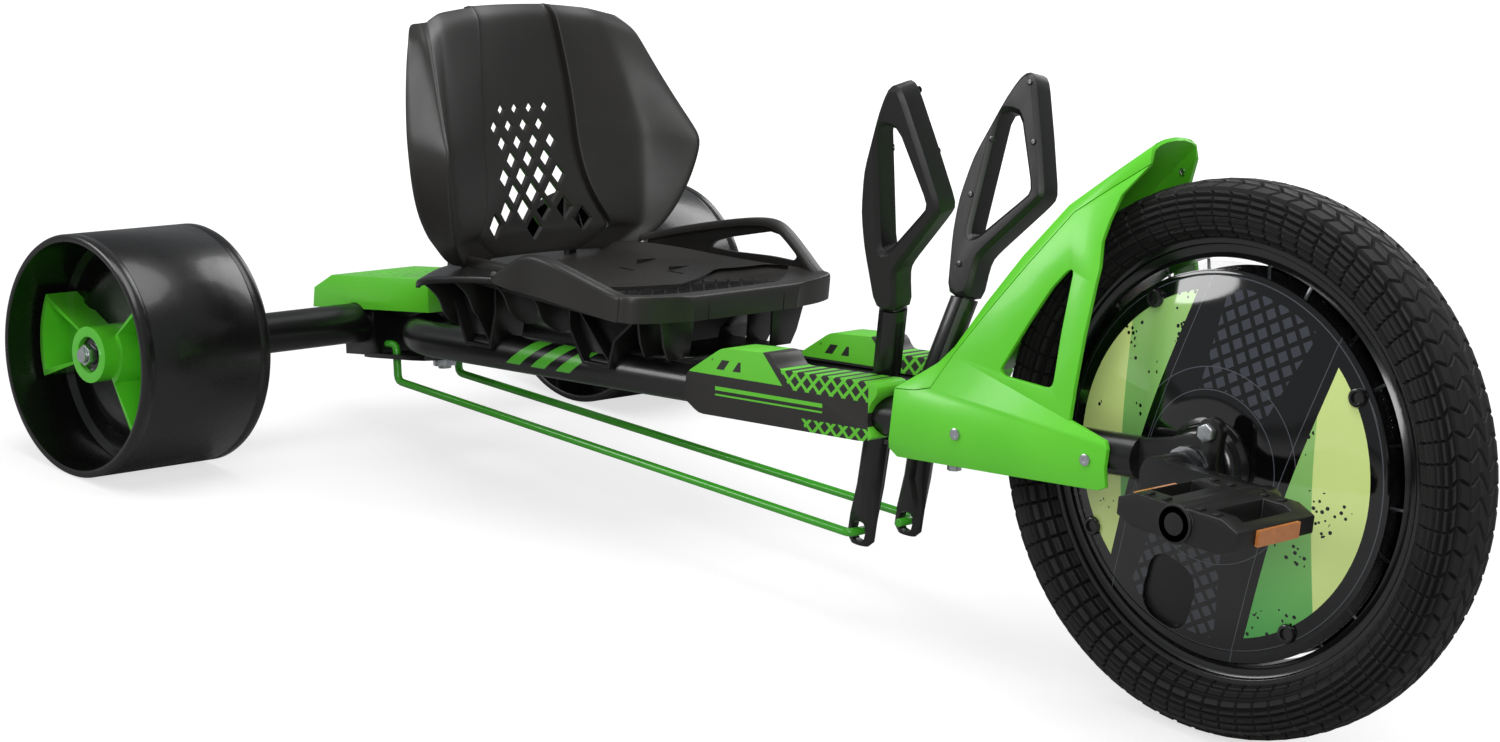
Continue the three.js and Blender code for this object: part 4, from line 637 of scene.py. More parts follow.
tread = {"half": [(163, 12.2), (166, 19.5), (171, 25), (177.5, 27.9), (182, 28.6), (187, 28), (191.5, 26.3),
                  (195.2, 23.4), (198.4, 14.6), (199.9, 5.4)],
         "steps": 76, "from": 194, "blocksFrom": 195.6, "facing": 0.3, "gap": 1.5, "depth": 2.7,
         "skew": {5.4: 0.5, 14.6: 0.0, 23.4: 0.35}}


def makeTyre():
    t = tread
    obj = spun(mirroredProfile(t["half"]), t["steps"], frontAxle)
    for vertex in obj.data.vertices:
        offset = vertex.co - frontAxle
        across = offset.y / mm
        if Vector((offset.x, offset.z)).length / mm < t["from"]:
            continue
        share = min(t["skew"].items(), key=lambda pair: abs(pair[0] - abs(across)))[1]
        share *= 1 if across > 0 else -1
        vertex.co = frontAxle + turned(share * 2 * math.pi / t["steps"]) @ offset

    def onTread(face):
        away = face.center - frontAxle
        away.y = 0
        return away.length / mm > t["blocksFrom"] and face.normal.dot(away.normalized()) > t["facing"]

    gap, depth = t["gap"] * mm, t["depth"] * mm
    facesOf(obj, onTread, lambda: bpy.ops.mesh.inset(thickness=gap, depth=depth, use_individual=True))
    settle(obj, "frontTyre", "rubber", "tyre", replaced=["tyre"], shade=24)


makeTyre()

rimProfile = [(162.6, 10), (162.7, 13), (162, 14.6), (159.5, 15), (157.4, 14.2), (156.4, 11.5), (154, 10.4),
              (150.5, 10.4), (148.2, 12.6), (147.1, 13.4), (147.1, 6)]
rim = spun(mirroredProfile(rimProfile), around["rim"], frontAxle)
settle(rim, "frontRim", "blackAbs", "rim", replaced=["rim"], shade=32)


def cutWith(obj, cutter):
    before = len(obj.data.polygons)
    modify(obj, "BOOLEAN", operation="DIFFERENCE", object=cutter, solver="EXACT")
    bpy.data.objects.remove(cutter)
    print("cut:", obj.name, before, "to", len(obj.data.polygons), "faces")


# The disc's border is placed from its edge and the rim. Each point of its slope is a radius, the radius whose
# height it takes, and a lift.
disc = {"outer": 145, "rimY": 17, "flat": 48, "hubY": 35.8, "wall": 1.6, "hole": 8.4, "deep": 3, "bend": 2,
        "border": [(-0.4, -3), (0, -1), (0, 1), (-0.8, 1.6)],
        "slope": [(138, 138, 0), (136.6, 136.6, 0), (135.6, 136.6, 0.7), (134.4, 134, 0.9), (110, 110, 0.4),
                  (75, 75, 0.3), (52, 52, 0.1)],
        "hatch": {"radius": 107, "angle": 254, "width": 44, "depth": 54, "corner": 17, "lap": 6, "thick": 2,
                  "cutAt": 30, "cut": 50},
        "clips": {"count": 4, "circle": 129, "phase": 35, "radius": 7, "stand": 6.4, "sink": 1,
                  "soft": 1.4, "hollow": 2.2}}


def coverY(radius):
    d = disc
    return d["rimY"] + (d["outer"] - radius) / (d["outer"] - d["flat"]) * (d["hubY"] - d["rimY"])


def hatchPlace(side, depth):
    angle = math.radians(disc["hatch"]["angle"])
    place = Vector((disc["hatch"]["radius"], side * depth, 0)) * mm
    return Matrix.Translation(frontAxle) @ turned(-angle) @ Matrix.Translation(place)


def makeDisc(side, tag):
    d = disc
    wall, rimY, hubY = d["wall"], d["rimY"], d["hubY"]
    # From the rim inwards over a pressed step to the flat middle, and back along the inner face
    outside = [(d["outer"] + inset, rimY + rise) for inset, rise in d["border"]]
    outside += [(radius, coverY(under) + wall + lift) for radius, under, lift in d["slope"]]
    outside += [(d["flat"] - d["bend"], hubY + wall), (d["hole"], hubY + wall)]
    inside = [(d["hole"], hubY), (d["flat"], hubY), (d["outer"] - wall, rimY),
              (d["outer"] - wall, rimY - d["deep"])]
    obj = spun(onSide(outside + inside, side), around["disc"], frontAxle)
    hatch = d["hatch"]
    cutter = boxOf((hatch["depth"], hatch["cut"], hatch["width"]))
    roundEdges(cutter, hatch["corner"], 6)
    cutter.matrix_world = hatchPlace(side, hatch["cutAt"])
    cutWith(obj, cutter)
    node = "cover_disc_" + tag
    settle(obj, plainName(node), "disc" + tag.capitalize(), node, shade=30, replaced=[node])
    # A matt insert closes the valve opening from inside
    cover = boxOf((hatch["depth"] + hatch["lap"], hatch["thick"], hatch["width"] + hatch["lap"]))
    lean = turned(-side * math.atan(printedDisc["fall"]), "Z")
    cover.matrix_world = hatchPlace(side, coverY(hatch["radius"]) - wall) @ lean
    settle(cover, "hatchCover" + tag.capitalize(), "blackNylon", edge=(0.9, 2), shade=30,
           body=nodeBody["rim"])


# A button's shares: how its edge softens inwards and down, its dish's rim and foot, the hole it is spun round
button = {"soft": (0.4, 0.3), "dish": (0.62, 0.5), "middle": 0.15}


def buttonProfile(radius, low, high, soften, hollow):
    inwards, down = button["soft"]
    rim, foot = button["dish"]
    return [(radius, low), (radius, high - soften), (radius - soften * inwards, high - soften * down),
            (radius - soften, high), (radius * rim, high), (radius * foot, high - hollow),
            (button["middle"], high - hollow), (button["middle"], low)]


def makeClips(side, tag):
    c = disc["clips"]
    face = coverY(c["circle"])
    profile = buttonProfile(c["radius"], face - c["sink"], face + c["stand"], c["soft"], c["hollow"])
    model = spun(onSide(profile, side), around["clip"], Vector())
    for index in range(c["count"]):
        angle = math.radians(c["phase"] + 360 * index / c["count"])
        place = frontAxle + Vector((math.cos(angle), 0, math.sin(angle))) * c["circle"] * mm
        settle(copyOf(model, Matrix.Translation(place)), f"discClip{tag.capitalize()}{index + 1}", "blackAbs",
               shade=30, body=nodeBody["cover_disc_" + tag])
    bpy.data.objects.remove(model)


hubCap = [(8.4, 37.8), (35, 37.8), (35.4, 38.6), (35, 39.9), (33.4, 40.6), (31.6, 41.6), (30.8, 44),
          (30, 47.6), (28.6, 50.2), (26, 52), (22.5, 52.7), (19, 52.3), (17.5, 51.2), (14, 51), (12.5, 52.3),
          (8.4, 52.6)]
sides = ((-1, "right"), (1, "left"))
for side, tag in sides:
    makeDisc(side, tag)
    makeClips(side, tag)
    cap = spun(onSide(hubCap, side), around["hubCap"], frontAxle)
    settle(cap, "hubCap" + tag.capitalize(), "blackAbs", "hub_cap_" + tag, shade=32,
           replaced=["hub_cap_" + tag])
print("stage: front wheel turned")

# The drum's roll is placed inwards from its wall and its end, the ring on its web by radius and rise
drum = {"radius": 102.7, "wall": 4, "outer": 352, "inner": 222, "web": 290, "webWall": 5, "hub": 21,
        "bore": 15.3, "ribs": 6, "ribWall": 3, "ribDepth": 34, "ribLap": 1, "lip": 2.2, "hubEdge": 1,
        "roll": [(6.2, 0.6), (4.6, 0), (2.6, 0), (0.9, 0.9), (0, 2.8), (0, 9), (0.7, 10.2), (0.7, 11.8),
                 (0, 13)],
        "ring": [(60, 0), (66, 4), (74, 4), (80, 0)], "innerMouth": (2.4, 4), "outerMouth": (3.5, 2.2),
        "webBend": 5, "floorBend": 6, "hubBend": 3}


def drumProfile():
    d = drum
    inside, hub, web, inner, outer = d["radius"] - d["wall"], d["hub"], d["web"], d["inner"], d["outer"]
    lip, floor = inside - d["lip"], web - d["webWall"]

    def rolledEnd(end, way):  # from the lip's inner corner over the rim to the far side of the groove
        return [(d["radius"] - inset, end - along * way) for inset, along in d["roll"]]

    back = [(lip, inner + d["innerMouth"][0]), (inside, inner + d["innerMouth"][1]),
            (inside, floor - d["floorBend"]), (inside - d["floorBend"], floor), (hub + d["hubBend"], floor),
            (hub, floor - d["hubBend"]), (hub, inner + d["hubEdge"]), (hub - d["hubEdge"], inner),
            (d["bore"], inner)]
    front = [(d["bore"], web)] + [(radius, web + rise) for radius, rise in d["ring"]]
    front += [(inside - d["webBend"], web), (inside, web + d["webBend"]), (inside, outer - d["outerMouth"][0]),
              (lip, outer - d["outerMouth"][1])]
    return rolledEnd(outer, 1) + rolledEnd(inner, -1)[::-1] + back + front


def makeDrum(side, tag):
    d = drum
    node = "rear_drum_" + tag
    obj = spun(onSide(drumProfile(), side), around["drum"], rearAxle)
    settle(obj, plainName(node), "blackPolyethylene", node, shade=34, replaced=[node])
    inside, lap = d["radius"] - d["wall"], d["ribLap"]
    model = boxOf((inside - d["hub"] + lap, d["ribDepth"] - d["webWall"] + lap, d["ribWall"]))
    roundEdges(model, 0.8, 2)
    depth = d["web"] - (d["ribDepth"] + d["webWall"] - lap) / 2
    middle = Matrix.Translation(Vector(((inside + d["hub"]) / 2, side * depth, 0)) * mm)
    for index in range(d["ribs"]):
        place = Matrix.Translation(rearAxle) @ turned(-2 * math.pi * index / d["ribs"]) @ middle
        settle(copyOf(model, place), f"drumRib{tag.capitalize()}{index + 1}", "blackPolyethylene", node,
               shade=30)
    bpy.data.objects.remove(model)


for side, tag in sides:
    makeDrum(side, tag)
print("stage: drum wheels turned")

# Shells bent from grids, and prisms drawn as outlines


def gridOf(rows):
    bpy.ops.object.select_all(action="DESELECT")
    bpy.ops.mesh.primitive_grid_add(x_subdivisions=len(rows[0]) - 1, y_subdivisions=len(rows) - 1, size=1,
                                    location=(0, 0, 0))
    obj = bpy.context.object
    order = sorted(obj.data.vertices, key=lambda v: (round(v.co.y, 4), round(v.co.x, 4)))
    for vertex, target in zip(order, [point for row in rows for point in row]):
        vertex.co = target
    return obj


def faceTowards(obj, direction):
    inEdit(obj, outward)
    if sum(face.normal.dot(Vector(direction)) * face.area for face in obj.data.polygons) < 0:
        inEdit(obj, lambda: bpy.ops.mesh.flip_normals())


def prismOf(outline, along):
    bpy.ops.object.select_all(action="DESELECT")
    bpy.ops.mesh.primitive_circle_add(vertices=len(outline), radius=0.01, location=(0, 0, 0),
                                      fill_type="NGON")
    obj = bpy.context.object
    for vertex, target in zip(obj.data.vertices, outline):
        vertex.co = target
    inEdit(obj, lambda: bpy.ops.mesh.extrude_region_move(TRANSFORM_OT_translate={"value": tuple(along)}),
           lambda: bpy.ops.mesh.select_all(action="SELECT"), outward)
    return obj


def cutThrough(obj, along, across, heights):  # a box-shaped cut between pairs of limits
    (rear, front), (right, left), (low, high) = along, across, heights
    outline = [at(rear, right, low), at(front, right, low), at(front, left, low), at(rear, left, low)]
    cutWith(obj, prismOf(outline, (0, 0, (high - low) * mm)))


def curved(points, steps):  # a smooth run through the points, whose tangents follow their neighbours
    run = []
    for index in range(len(points) - 1):
        before, first = points[max(index - 1, 0)], points[index]
        second, after = points[index + 1], points[min(index + 2, len(points) - 1)]
        for step in range(steps):
            t = step / steps
            run.append(tuple(0.5 * (2 * b + (c - a) * t + (2 * a - 5 * b + 4 * c - d) * t ** 2
                                    + (3 * b - a - 3 * c + d) * t ** 3)
                             for a, b, c, d in zip(before, first, second, after)))
    return run + [tuple(points[-1])]


def diamondCutter(places, direction, depth):  # each place is a centre with its half width and half height
    turn = Vector(direction).to_track_quat("Z", "Y").to_matrix().to_4x4()
    holes = []
    for centre, wide, high in places:
        bpy.ops.object.select_all(action="DESELECT")
        bpy.ops.mesh.primitive_cylinder_add(vertices=4, radius=1, depth=depth * mm, location=(0, 0, 0))
        hole = bpy.context.object
        hole.matrix_world = Matrix.Translation(centre) @ turn @ Matrix.Diagonal((wide * mm, high * mm, 1, 1))
        holes.append(hole)
    pick(*holes)
    bpy.ops.object.join()
    cutter = bpy.context.object
    bpy.ops.object.transform_apply(location=True, rotation=True, scale=True)
    inEdit(cutter, outward)
    return cutter


# Seat back: level sections with a recessed panel, a rolled top and rows of diamonds

seatBack = {
    "rear": 120, "reach": 105, "half": 149, "low": 205, "height": 195, "wall": 4, "step": 0.036,
    "columns": ("up", "middle", "panel", "panelX", "wingX", "wing", "sideX", "side", "drop"),
    "levels": [
        (-0.028, 0.55, 0.31, 0.57, 0.74, 0.66, 0.59, 0.7, 0),
        (0.045, 0.53, 0.46, 0.63, 0.82, 0.77, 0.59, 0.79, 0),
        (0.08, 0.525, 0.5, 0.65, 0.86, 0.81, 0.58, 0.83, 0),
        (0.095, 0.52, 0.51, 0.66, 0.875, 0.825, 0.57, 0.845, 1),
        (0.18, 0.5, 0.43, 0.6, 0.93, 0.885, 0.55, 0.91, 1),
        (0.3, 0.45, 0.375, 0.49, 0.975, 0.945, 0.54, 0.965, 1),
        (0.43, 0.37, 0.358, 0.4, 0.995, 0.985, 0.53, 0.998, 1),
        (0.5, 0.325, 0.352, 0.365, 0.995, 0.99, 0.5, 1, 1),
        (0.57, 0.285, 0.348, 0.33, 0.9, 0.965, 0.45, 0.985, 1),
        (0.72, 0.21, 0.333, 0.25, 0.69, 0.9, 0.32, 0.93, 1),
        (0.88, 0.11, 0.305, 0.15, 0.47, 0.835, 0.22, 0.88, 1),
        (0.945, 0.065, 0.295, 0.105, 0.385, 0.81, 0.195, 0.86, 1),
        (0.975, 0.03, 0.292, 0.07, 0.31, 0.785, 0.15, 0.835, 1),
        (1, -0.04, 0.29, 0.0, 0.2, 0.74, 0.08, 0.79, 1),
    ],
    "rows": [(4, 0), (4, -0.5), (4, 0), (3, 0), (4, 0), (3, 0), (4, 0)], "pitch": (17, 22.5),
    "size": (4.5, 8.4), "top": 0.6, "bottom": 0.165, "large": [(-51, 0.115), (0, 0.085), (51, 0.115)],
    "largeSize": 9, "tall": (1.3, 1.25), "kink": (0.36, 0.64), "cutAt": 50, "cutDepth": 300,
    "sagFrom": 0.5, "sag": 0.06, "sagInside": 0.3, "sagReach": 0.5, "lift": 0.041,
}


def seatStations(level):
    s = seatBack
    step = s["step"] * level["drop"]
    panel, wing = level["panel"], level["wing"]
    crestX, edgeX, side = level["wingX"], level["panelX"], level["side"]
    kinkX = edgeX + (crestX - edgeX) * s["kink"][0]
    kinkY = panel + (wing - panel) * s["kink"][1]
    right = [(level["sideX"], side), (level["sideX"] * 0.3 + crestX * 0.7, side + (wing - side) * 0.45),
             (crestX - 0.045, wing + (side - wing) * 0.25), (crestX, wing), (crestX - 0.035, wing - 0.035),
             (kinkX + (crestX - kinkX) * 0.1, kinkY + (wing - kinkY) * 0.1),
             (kinkX - (kinkX - edgeX) * 0.08, kinkY - (kinkY - panel) * 0.08),
             (edgeX + step + 0.008, panel + 0.035), (edgeX + step, panel + 0.014),
             (edgeX + step * 0.8, panel + 0.008), (edgeX - step, panel + 0.005),
             (edgeX - step * 1.1, panel - 0.003), (edgeX - step * 0.4, panel - 0.01),
             (edgeX - step * 0.3 - 0.003, panel - 0.035),
             (level["middle"] + (edgeX - level["middle"]) * 0.4 - step * 0.3, panel * 0.6),
             (level["middle"] - step * 0.3, panel * 0.25)]
    return [(x, -y) for x, y in right] + [(x, y) for x, y in reversed(right)]


def seatPoint(x, y, up):
    s = seatBack
    return at(s["rear"] + x * s["reach"], y * s["half"], s["low"] + up * s["height"])


def makeSeatBack():
    s = seatBack
    rows = []
    for level in (dict(zip(s["columns"], shares)) for shares in s["levels"]):
        rise = max(0, level["up"] - s["sagFrom"]) / (1 - s["sagFrom"])
        row = []
        for x, y in seatStations(level):
            outside = max(0, abs(y) - s["sagInside"]) / s["sagReach"]
            row.append(seatPoint(x, y, level["up"] + rise * (s["lift"] - s["sag"] * outside ** 2)))
        rows.append(row)
    obj = gridOf(rows)
    modify(obj, "SUBSURF", levels=2, render_levels=2)
    faceTowards(obj, (1, 0, 0.3))
    modify(obj, "SOLIDIFY", thickness=s["wall"] * mm, offset=-1.0, use_even_offset=False)
    places = []
    last = len(s["rows"]) - 1
    x = s["rear"] + s["cutAt"]
    for row, (number, shift) in enumerate(s["rows"]):
        share = row / last
        half = s["size"][0] + (s["size"][1] - s["size"][0]) * share
        pitch = s["pitch"][0] + (s["pitch"][1] - s["pitch"][0]) * share
        z = s["low"] + s["height"] * (s["top"] + (s["bottom"] - s["top"]) * share)
        for index in range(number):
            y = (index - (number - 1) / 2 + shift) * pitch
            places.append((at(x, y, z), half, half * s["tall"][0]))
    for y, up in s["large"]:
        places.append((at(x, y, s["low"] + s["height"] * up), s["largeSize"], s["largeSize"] * s["tall"][1]))
    cutWith(obj, diamondCutter(places, (1, 0, 0), s["cutDepth"]))
    settle(obj, "seatBackShell", "charcoalPolypropylene", "seat_back", edge=(0.8, 2, 50), shade=32,
           replaced=["seat_back"])


makeSeatBack()
print("stage: seat back made")

# Seat base: a pan with a rolled rim, two side handles, rear skirts on gussets, ribbed feet and a lattice

seatPan = {
    "rear": 150, "length": 286, "half": 126, "low": 184, "height": 40, "wall": 3.2,
    "sections": [(0, 0.6, 0.4, 0.2, 0.05), (0.14, 0.74, 0.575, 0.275, 0.05), (0.315, 0.8, 0.725, 0.375, 0.15),
                 (0.525, 0.84, 0.775, 0.475, 0.225), (0.735, 0.9, 0.85, 0.625, 0.3),
                 (0.87, 0.965, 0.95, 0.8, 0.4), (0.93, 0.965, 0.975, 0.9, 0.425),
                 (0.955, 0.9, 0.975, 0.92, 0.425), (0.975, 0.77, 0.97, 0.92, 0.425),
                 (0.985, 0.66, 0.96, 0.93, 0.425), (0.99, 0.55, 0.94, 0.93, 0.425)],
    "nose": [(0.996, 0.5, 0.86), (1.0, 0.48, 0.6), (1.0, 0.48, 0.425)],
    "recess": [(316, 84), (372, 116), (416, 56), (419, 0), (416, -56), (372, -116), (316, -84), (358, 0)],
    "recessFloor": (331, 206.5, 0.16), "recessDepth": 5.6, "recessCorner": 7, "recessCut": (170, 250),
    "recessGap": 0.6, "recessWall": 2, "plate": 2.4, "plateCut": 40, "hole": 6.2, "holeSink": 7,
    "holePitch": 15, "holeMiddle": 378, "holeReach": (305, 430, 122), "holeRows": 9,
    "slots": [(262, 30), (262, -30), (300, 52), (300, -52)], "slotHalf": (9, 2), "slotCut": (150, 240),
    "seams": [(434.9, 44, 0.5), (434.9, -44, 0.5), (432.3, -62, 1.5), (432.3, 62, 1.5)], "seamReach": 9,
    "seamCut": (190, 235),
}


def panHeight(share):
    return seatPan["low"] + share * seatPan["height"]


def panRow(along, wide, rim, floor, under):
    x = seatPan["rear"] + along * seatPan["length"]
    half = wide * seatPan["half"]
    top, dish, low = panHeight(rim), panHeight(floor), panHeight(under)
    right = [(half, low), (half, low + 1), (half, (low + top) / 2), (half, top - 5), (half - 0.5, top - 1.6),
             (half - 2.6, top), (half * 0.94, top - 0.2), (half * 0.9, top - (top - dish) * 0.28),
             (half * 0.82, dish + (top - dish) * 0.3), (half * 0.66, dish + (top - dish) * 0.06),
             (half * 0.4, dish)]
    return [at(x, -y, z) for y, z in right] + [at(x, 0, dish)] + [at(x, y, z) for y, z in reversed(right)]


def noseRow(along, wide, level):
    row = panRow(0.99, wide, 0.94, 0.93, 0.425)
    x = at(seatPan["rear"] + along * seatPan["length"], 0, 0).x
    return [Vector((x, point.y, min(point.z, panHeight(level) * mm))) for point in row]


def shearToFloor(obj):
    x0, z0, slope = seatPan["recessFloor"]
    start = at(x0, 0, z0)
    for vertex in obj.data.vertices:
        vertex.co.z += (vertex.co.x - start.x) * slope


def makePan():
    p = seatPan
    obj = gridOf([panRow(*section) for section in p["sections"]] + [noseRow(*row) for row in p["nose"]])
    modify(obj, "SUBSURF", levels=2, render_levels=2)
    faceTowards(obj, (0, 0, 1))
    modify(obj, "SOLIDIFY", thickness=p["wall"] * mm, offset=-1.0, use_even_offset=False)
    low, high = p["recessCut"]
    hole = prismOf([at(x, y, low) for x, y in p["recess"]], (0, 0, (high - low) * mm))
    roundEdges(hole, p["recessCorner"], 4)
    cutWith(obj, hole)
    long, wide = p["slotHalf"]
    for x, y in p["slots"]:
        cutThrough(obj, (x - long, x + long), (y - wide, y + wide), p["slotCut"])
    for x, y, wide in p["seams"]:
        cutThrough(obj, (x, x + p["seamReach"]), (y - wide, y + wide), p["seamCut"])
    settle(obj, "seatPan", "charcoalPolypropylene", "seat_base", edge=(0.7, 2, 40), shade=34,
           replaced=["seat_base"])
    floor = p["recessFloor"][1]
    outline = [at(x, y, floor - p["recessDepth"]) for x, y in p["recess"]]
    wall = prismOf(outline, (0, 0, (p["recessDepth"] - p["recessGap"]) * mm))
    facesOf(wall, lambda face: abs(face.normal.z) > facing, lambda: bpy.ops.mesh.delete(type="ONLY_FACE"))
    modify(wall, "SOLIDIFY", thickness=p["recessWall"] * mm, offset=1.0)
    shearToFloor(wall)
    settle(wall, "seatRecessWall", "charcoalPolypropylene", "seat_base", shade=34)
    plate = prismOf(outline, (0, 0, p["plate"] * mm))
    places = []
    rear, front, half = p["holeReach"]
    for row in range(-p["holeRows"], p["holeRows"] + 1):
        for column in range(-p["holeRows"], p["holeRows"] + 1):
            x = p["holeMiddle"] + row * p["holePitch"] / 2
            y = (column + (0.5 if row % 2 else 0)) * p["holePitch"]
            if abs(y) < half and rear < x < front:
                places.append((at(x, y, floor - p["holeSink"]), p["hole"], p["hole"]))
    cutWith(plate, diamondCutter(places, (0, 0, 1), p["plateCut"]))
    shearToFloor(plate)
    settle(plate, "seatLattice", "blackAbs", "seat_base", shade=30)


makePan()

# Stations along a handle: place, half width of its outer face, top and lower edge
handles = {
    "right": [(262, 125, 207, 203), (268, 128, 213, 202.5), (289, 134, 225, 203.5), (306, 137.5, 235, 205),
              (320, 139, 239.5, 206), (337, 138.5, 239, 206), (356, 136, 235.5, 205), (378, 129.5, 229, 202.5),
              (400, 122.5, 222.5, 200), (410, 121.5, 222, 200)],
    "left": [(200, 116, 213, 196), (214, 125, 219, 196), (235, 130, 226.5, 198), (262, 134, 235, 199),
             (293, 137, 244, 200), (320, 138, 250.5, 201), (338, 137.5, 252, 201), (352, 135, 249, 201.5),
             (370, 131, 241, 201.5), (390, 126, 231.5, 201), (404, 122.5, 224, 200),
             (412, 121.5, 221.5, 200)],
    "opening": [(262, 212), (268, 218.5), (284, 225), (310, 233), (330, 239), (345, 238.5), (360, 231.5),
                (370, 225), (364, 220.5), (330, 217.5), (290, 213)],
    "openingCut": (100, 160), "openingCorner": 3, "lip": 13, "wall": 3.6,
}


def handleRow(side, x, outer, top, low):
    drop = min(5, (top - low) * 0.4)
    lip = min(handles["lip"], (top - low) * 0.9)
    section = [(outer - lip, top - drop - 2), (outer - lip, top - drop * 0.6), (outer - lip + 1.2, top - 0.9),
               (outer - lip + 4, top), (outer - 4, top), (outer - 1.2, top - 0.9), (outer, top - drop * 0.6),
               (outer, top - drop - 1), (outer, (top + low) / 2), (outer, low + 0.5), (outer, low)]
    return [at(x, side * y, z) for y, z in section]


def makeHandle(side, tag):
    obj = gridOf([handleRow(side, *station) for station in handles[tag]])
    modify(obj, "SUBSURF", levels=2, render_levels=2)
    faceTowards(obj, (0, side, 0.5))
    modify(obj, "SOLIDIFY", thickness=handles["wall"] * mm, offset=-1.0, use_even_offset=False)
    if tag == "left":
        inner, outer = handles["openingCut"]
        opening = prismOf([at(x, inner, z) for x, z in handles["opening"]], (0, (outer - inner) * mm, 0))
        roundEdges(opening, handles["openingCorner"], 3, 20)
        cutWith(obj, opening)
    settle(obj, "seatHandle" + tag.capitalize(), "charcoalPolypropylene", "seat_base", edge=(0.9, 2, 50),
           shade=34)


for side, tag in sides:
    makeHandle(side, tag)

# Skirt stations: place, inner edge and its height, outer edge and its height
skirt = {"stations": [(153, 96, 186, 110, 179), (158, 88, 191, 119, 181), (175, 88, 197, 123, 188),
                      (200, 92, 201, 124, 194), (230, 97, 205, 124, 201), (258, 100, 208, 122, 206),
                      (290, 102, 209, 118, 209)],
         "gussets": [(164, 183), (201, 193), (246, 203), (286, 205)], "thick": 2.4, "root": 57,
         "wall": 2.8,
         "edge": [(-121, -1), (-108, -8), (-96, -19), (-87, -34), (-70, -44), (-57, -45)]}


def makeSkirt(side, tag):
    rows = []
    for x, inner, innerZ, outer, outerZ in skirt["stations"]:
        section = [(inner, innerZ), (inner + (outer - inner) * 0.5, innerZ + (outerZ - innerZ) * 0.42),
                   (outer - 3, outerZ + 0.8), (outer - 0.8, outerZ), (outer, outerZ - 2), (outer, outerZ - 6)]
        rows.append([at(x, side * y, z) for y, z in section])
    obj = gridOf(rows)
    modify(obj, "SUBSURF", levels=2, render_levels=2)
    faceTowards(obj, (0, 0, 1))
    modify(obj, "SOLIDIFY", thickness=skirt["wall"] * mm, offset=-1.0, use_even_offset=False)
    # The skirt, like the gussets, feet, ribs and posts, takes the polypropylene painted darker as shade under
    # the seat
    settle(obj, "seatSkirt" + tag.capitalize(), "smoothPolypropylene", "seat_base", edge=(0.8, 2, 50),
           shade=36)
    outline = [Vector((0, -side * y, z)) * mm for y, z in curved(skirt["edge"], 4)]
    model = prismOf(outline + [Vector((0, side * skirt["root"], 1)) * mm], (skirt["thick"] * mm, 0, 0))
    roundEdges(model, 0.6, 2, 60)
    for index, (x, top) in enumerate(skirt["gussets"]):
        settle(copyOf(model, Matrix.Translation(at(x, 0, top))), f"seatGusset{tag.capitalize()}{index + 1}",
               "smoothPolypropylene", "seat_base", shade=30)
    bpy.data.objects.remove(model)


for side, tag in sides:
    makeSkirt(side, tag)

# Feet: tapered boxes over the rails, hollow on their outer side, with a slanting web in each. Plain ribs
# stand in front of them, and behind them a post on each side carries the seat back.
feet = {"boxes": [(160, 217, 184, 216, 188), (306, 392, 330, 362, 196)], "outer": 79, "inner": 44, "wall": 3,
        "hollow": 12, "draft": 0.5, "web": 2.6, "webInset": 0.8, "waist": 26, "ribs": [(393, 199), (420, 201)],
        "rib": 2.6}
post = {"spine": [(177.7, 190), (177.7, 205), (175.6, 213), (173.5, 226.5), (172.5, 240), (167, 263.5),
                  (155.7, 298.6)], "behind": (5, 13), "across": 46, "wide": 9}


# Feet, their webs, the ribs and the posts take the polypropylene painted darker as shade under the seat
def makeFoot(side, tag, index, rearTop, frontTop, rearLow, frontLow, top):
    low = railHeight((rearLow + frontLow) / 2) + 3
    waist = top - feet["waist"]
    outline = [(rearLow, low), (frontLow, low + 3), (frontLow + 4, waist), (frontTop, top), (rearTop, top),
               (rearTop + 3, waist)]
    obj = prismOf([at(x, side * feet["outer"], z) for x, z in outline],
                  (0, -side * (feet["outer"] - feet["inner"]) * mm, 0))
    facesOf(obj, lambda face: face.normal.y * side > facing,
            lambda: bpy.ops.mesh.inset(thickness=feet["wall"] * mm, depth=0),
            lambda: bpy.ops.mesh.inset(thickness=feet["draft"] * mm, depth=-feet["hollow"] * mm))
    settle(obj, f"seatFoot{tag.capitalize()}{index}", "smoothPolypropylene", "seat_base",
           edge=(0.7, 2, 40), shade=30)
    thick = feet["web"]
    outline = [(rearTop + 6, top - 4), (rearTop + 6 + thick, top - 4), (frontLow, low + 8),
               (frontLow - thick, low + 8)]
    web = prismOf([at(x, side * (feet["outer"] - feet["webInset"]), z) for x, z in outline],
                  (0, -side * feet["hollow"] * mm, 0))
    settle(web, f"seatFootWeb{tag.capitalize()}{index}", "smoothPolypropylene", "seat_base",
           edge=(0.5, 2, 40), shade=30)


def makeFeet(side, tag):
    for index, box in enumerate(feet["boxes"]):
        makeFoot(side, tag, index + 1, *box)
    for index, (x, top) in enumerate(feet["ribs"]):
        low = railHeight(x) + layout["railRadius"] + 2
        outline = [(84, top), (46, top), (48, low), (72, low), (78, low + 12)]
        rib = prismOf([at(x, side * y, z) for y, z in outline], (feet["rib"] * mm, 0, 0))
        settle(rib, f"seatRib{tag.capitalize()}{index + 1}", "smoothPolypropylene", "seat_base",
               edge=(0.5, 2, 40), shade=30)
    near, far = post["behind"]
    run = [(x - near, z) for x, z in post["spine"]] + [(x - far, z) for x, z in reversed(post["spine"])]
    obj = prismOf([at(x, side * post["across"], z) for x, z in run], (0, side * post["wide"] * mm, 0))
    settle(obj, "seatPost" + tag.capitalize(), "smoothPolypropylene", "seat_base", edge=(1.2, 2, 40), shade=34)


for side, tag in sides:
    makeFeet(side, tag)

# Flat steel plate that ties the rails together under the front of the seat
seatPlate = {"rear": 364, "front": 428, "half": 62, "thick": 2.6, "cut": (12, 14)}


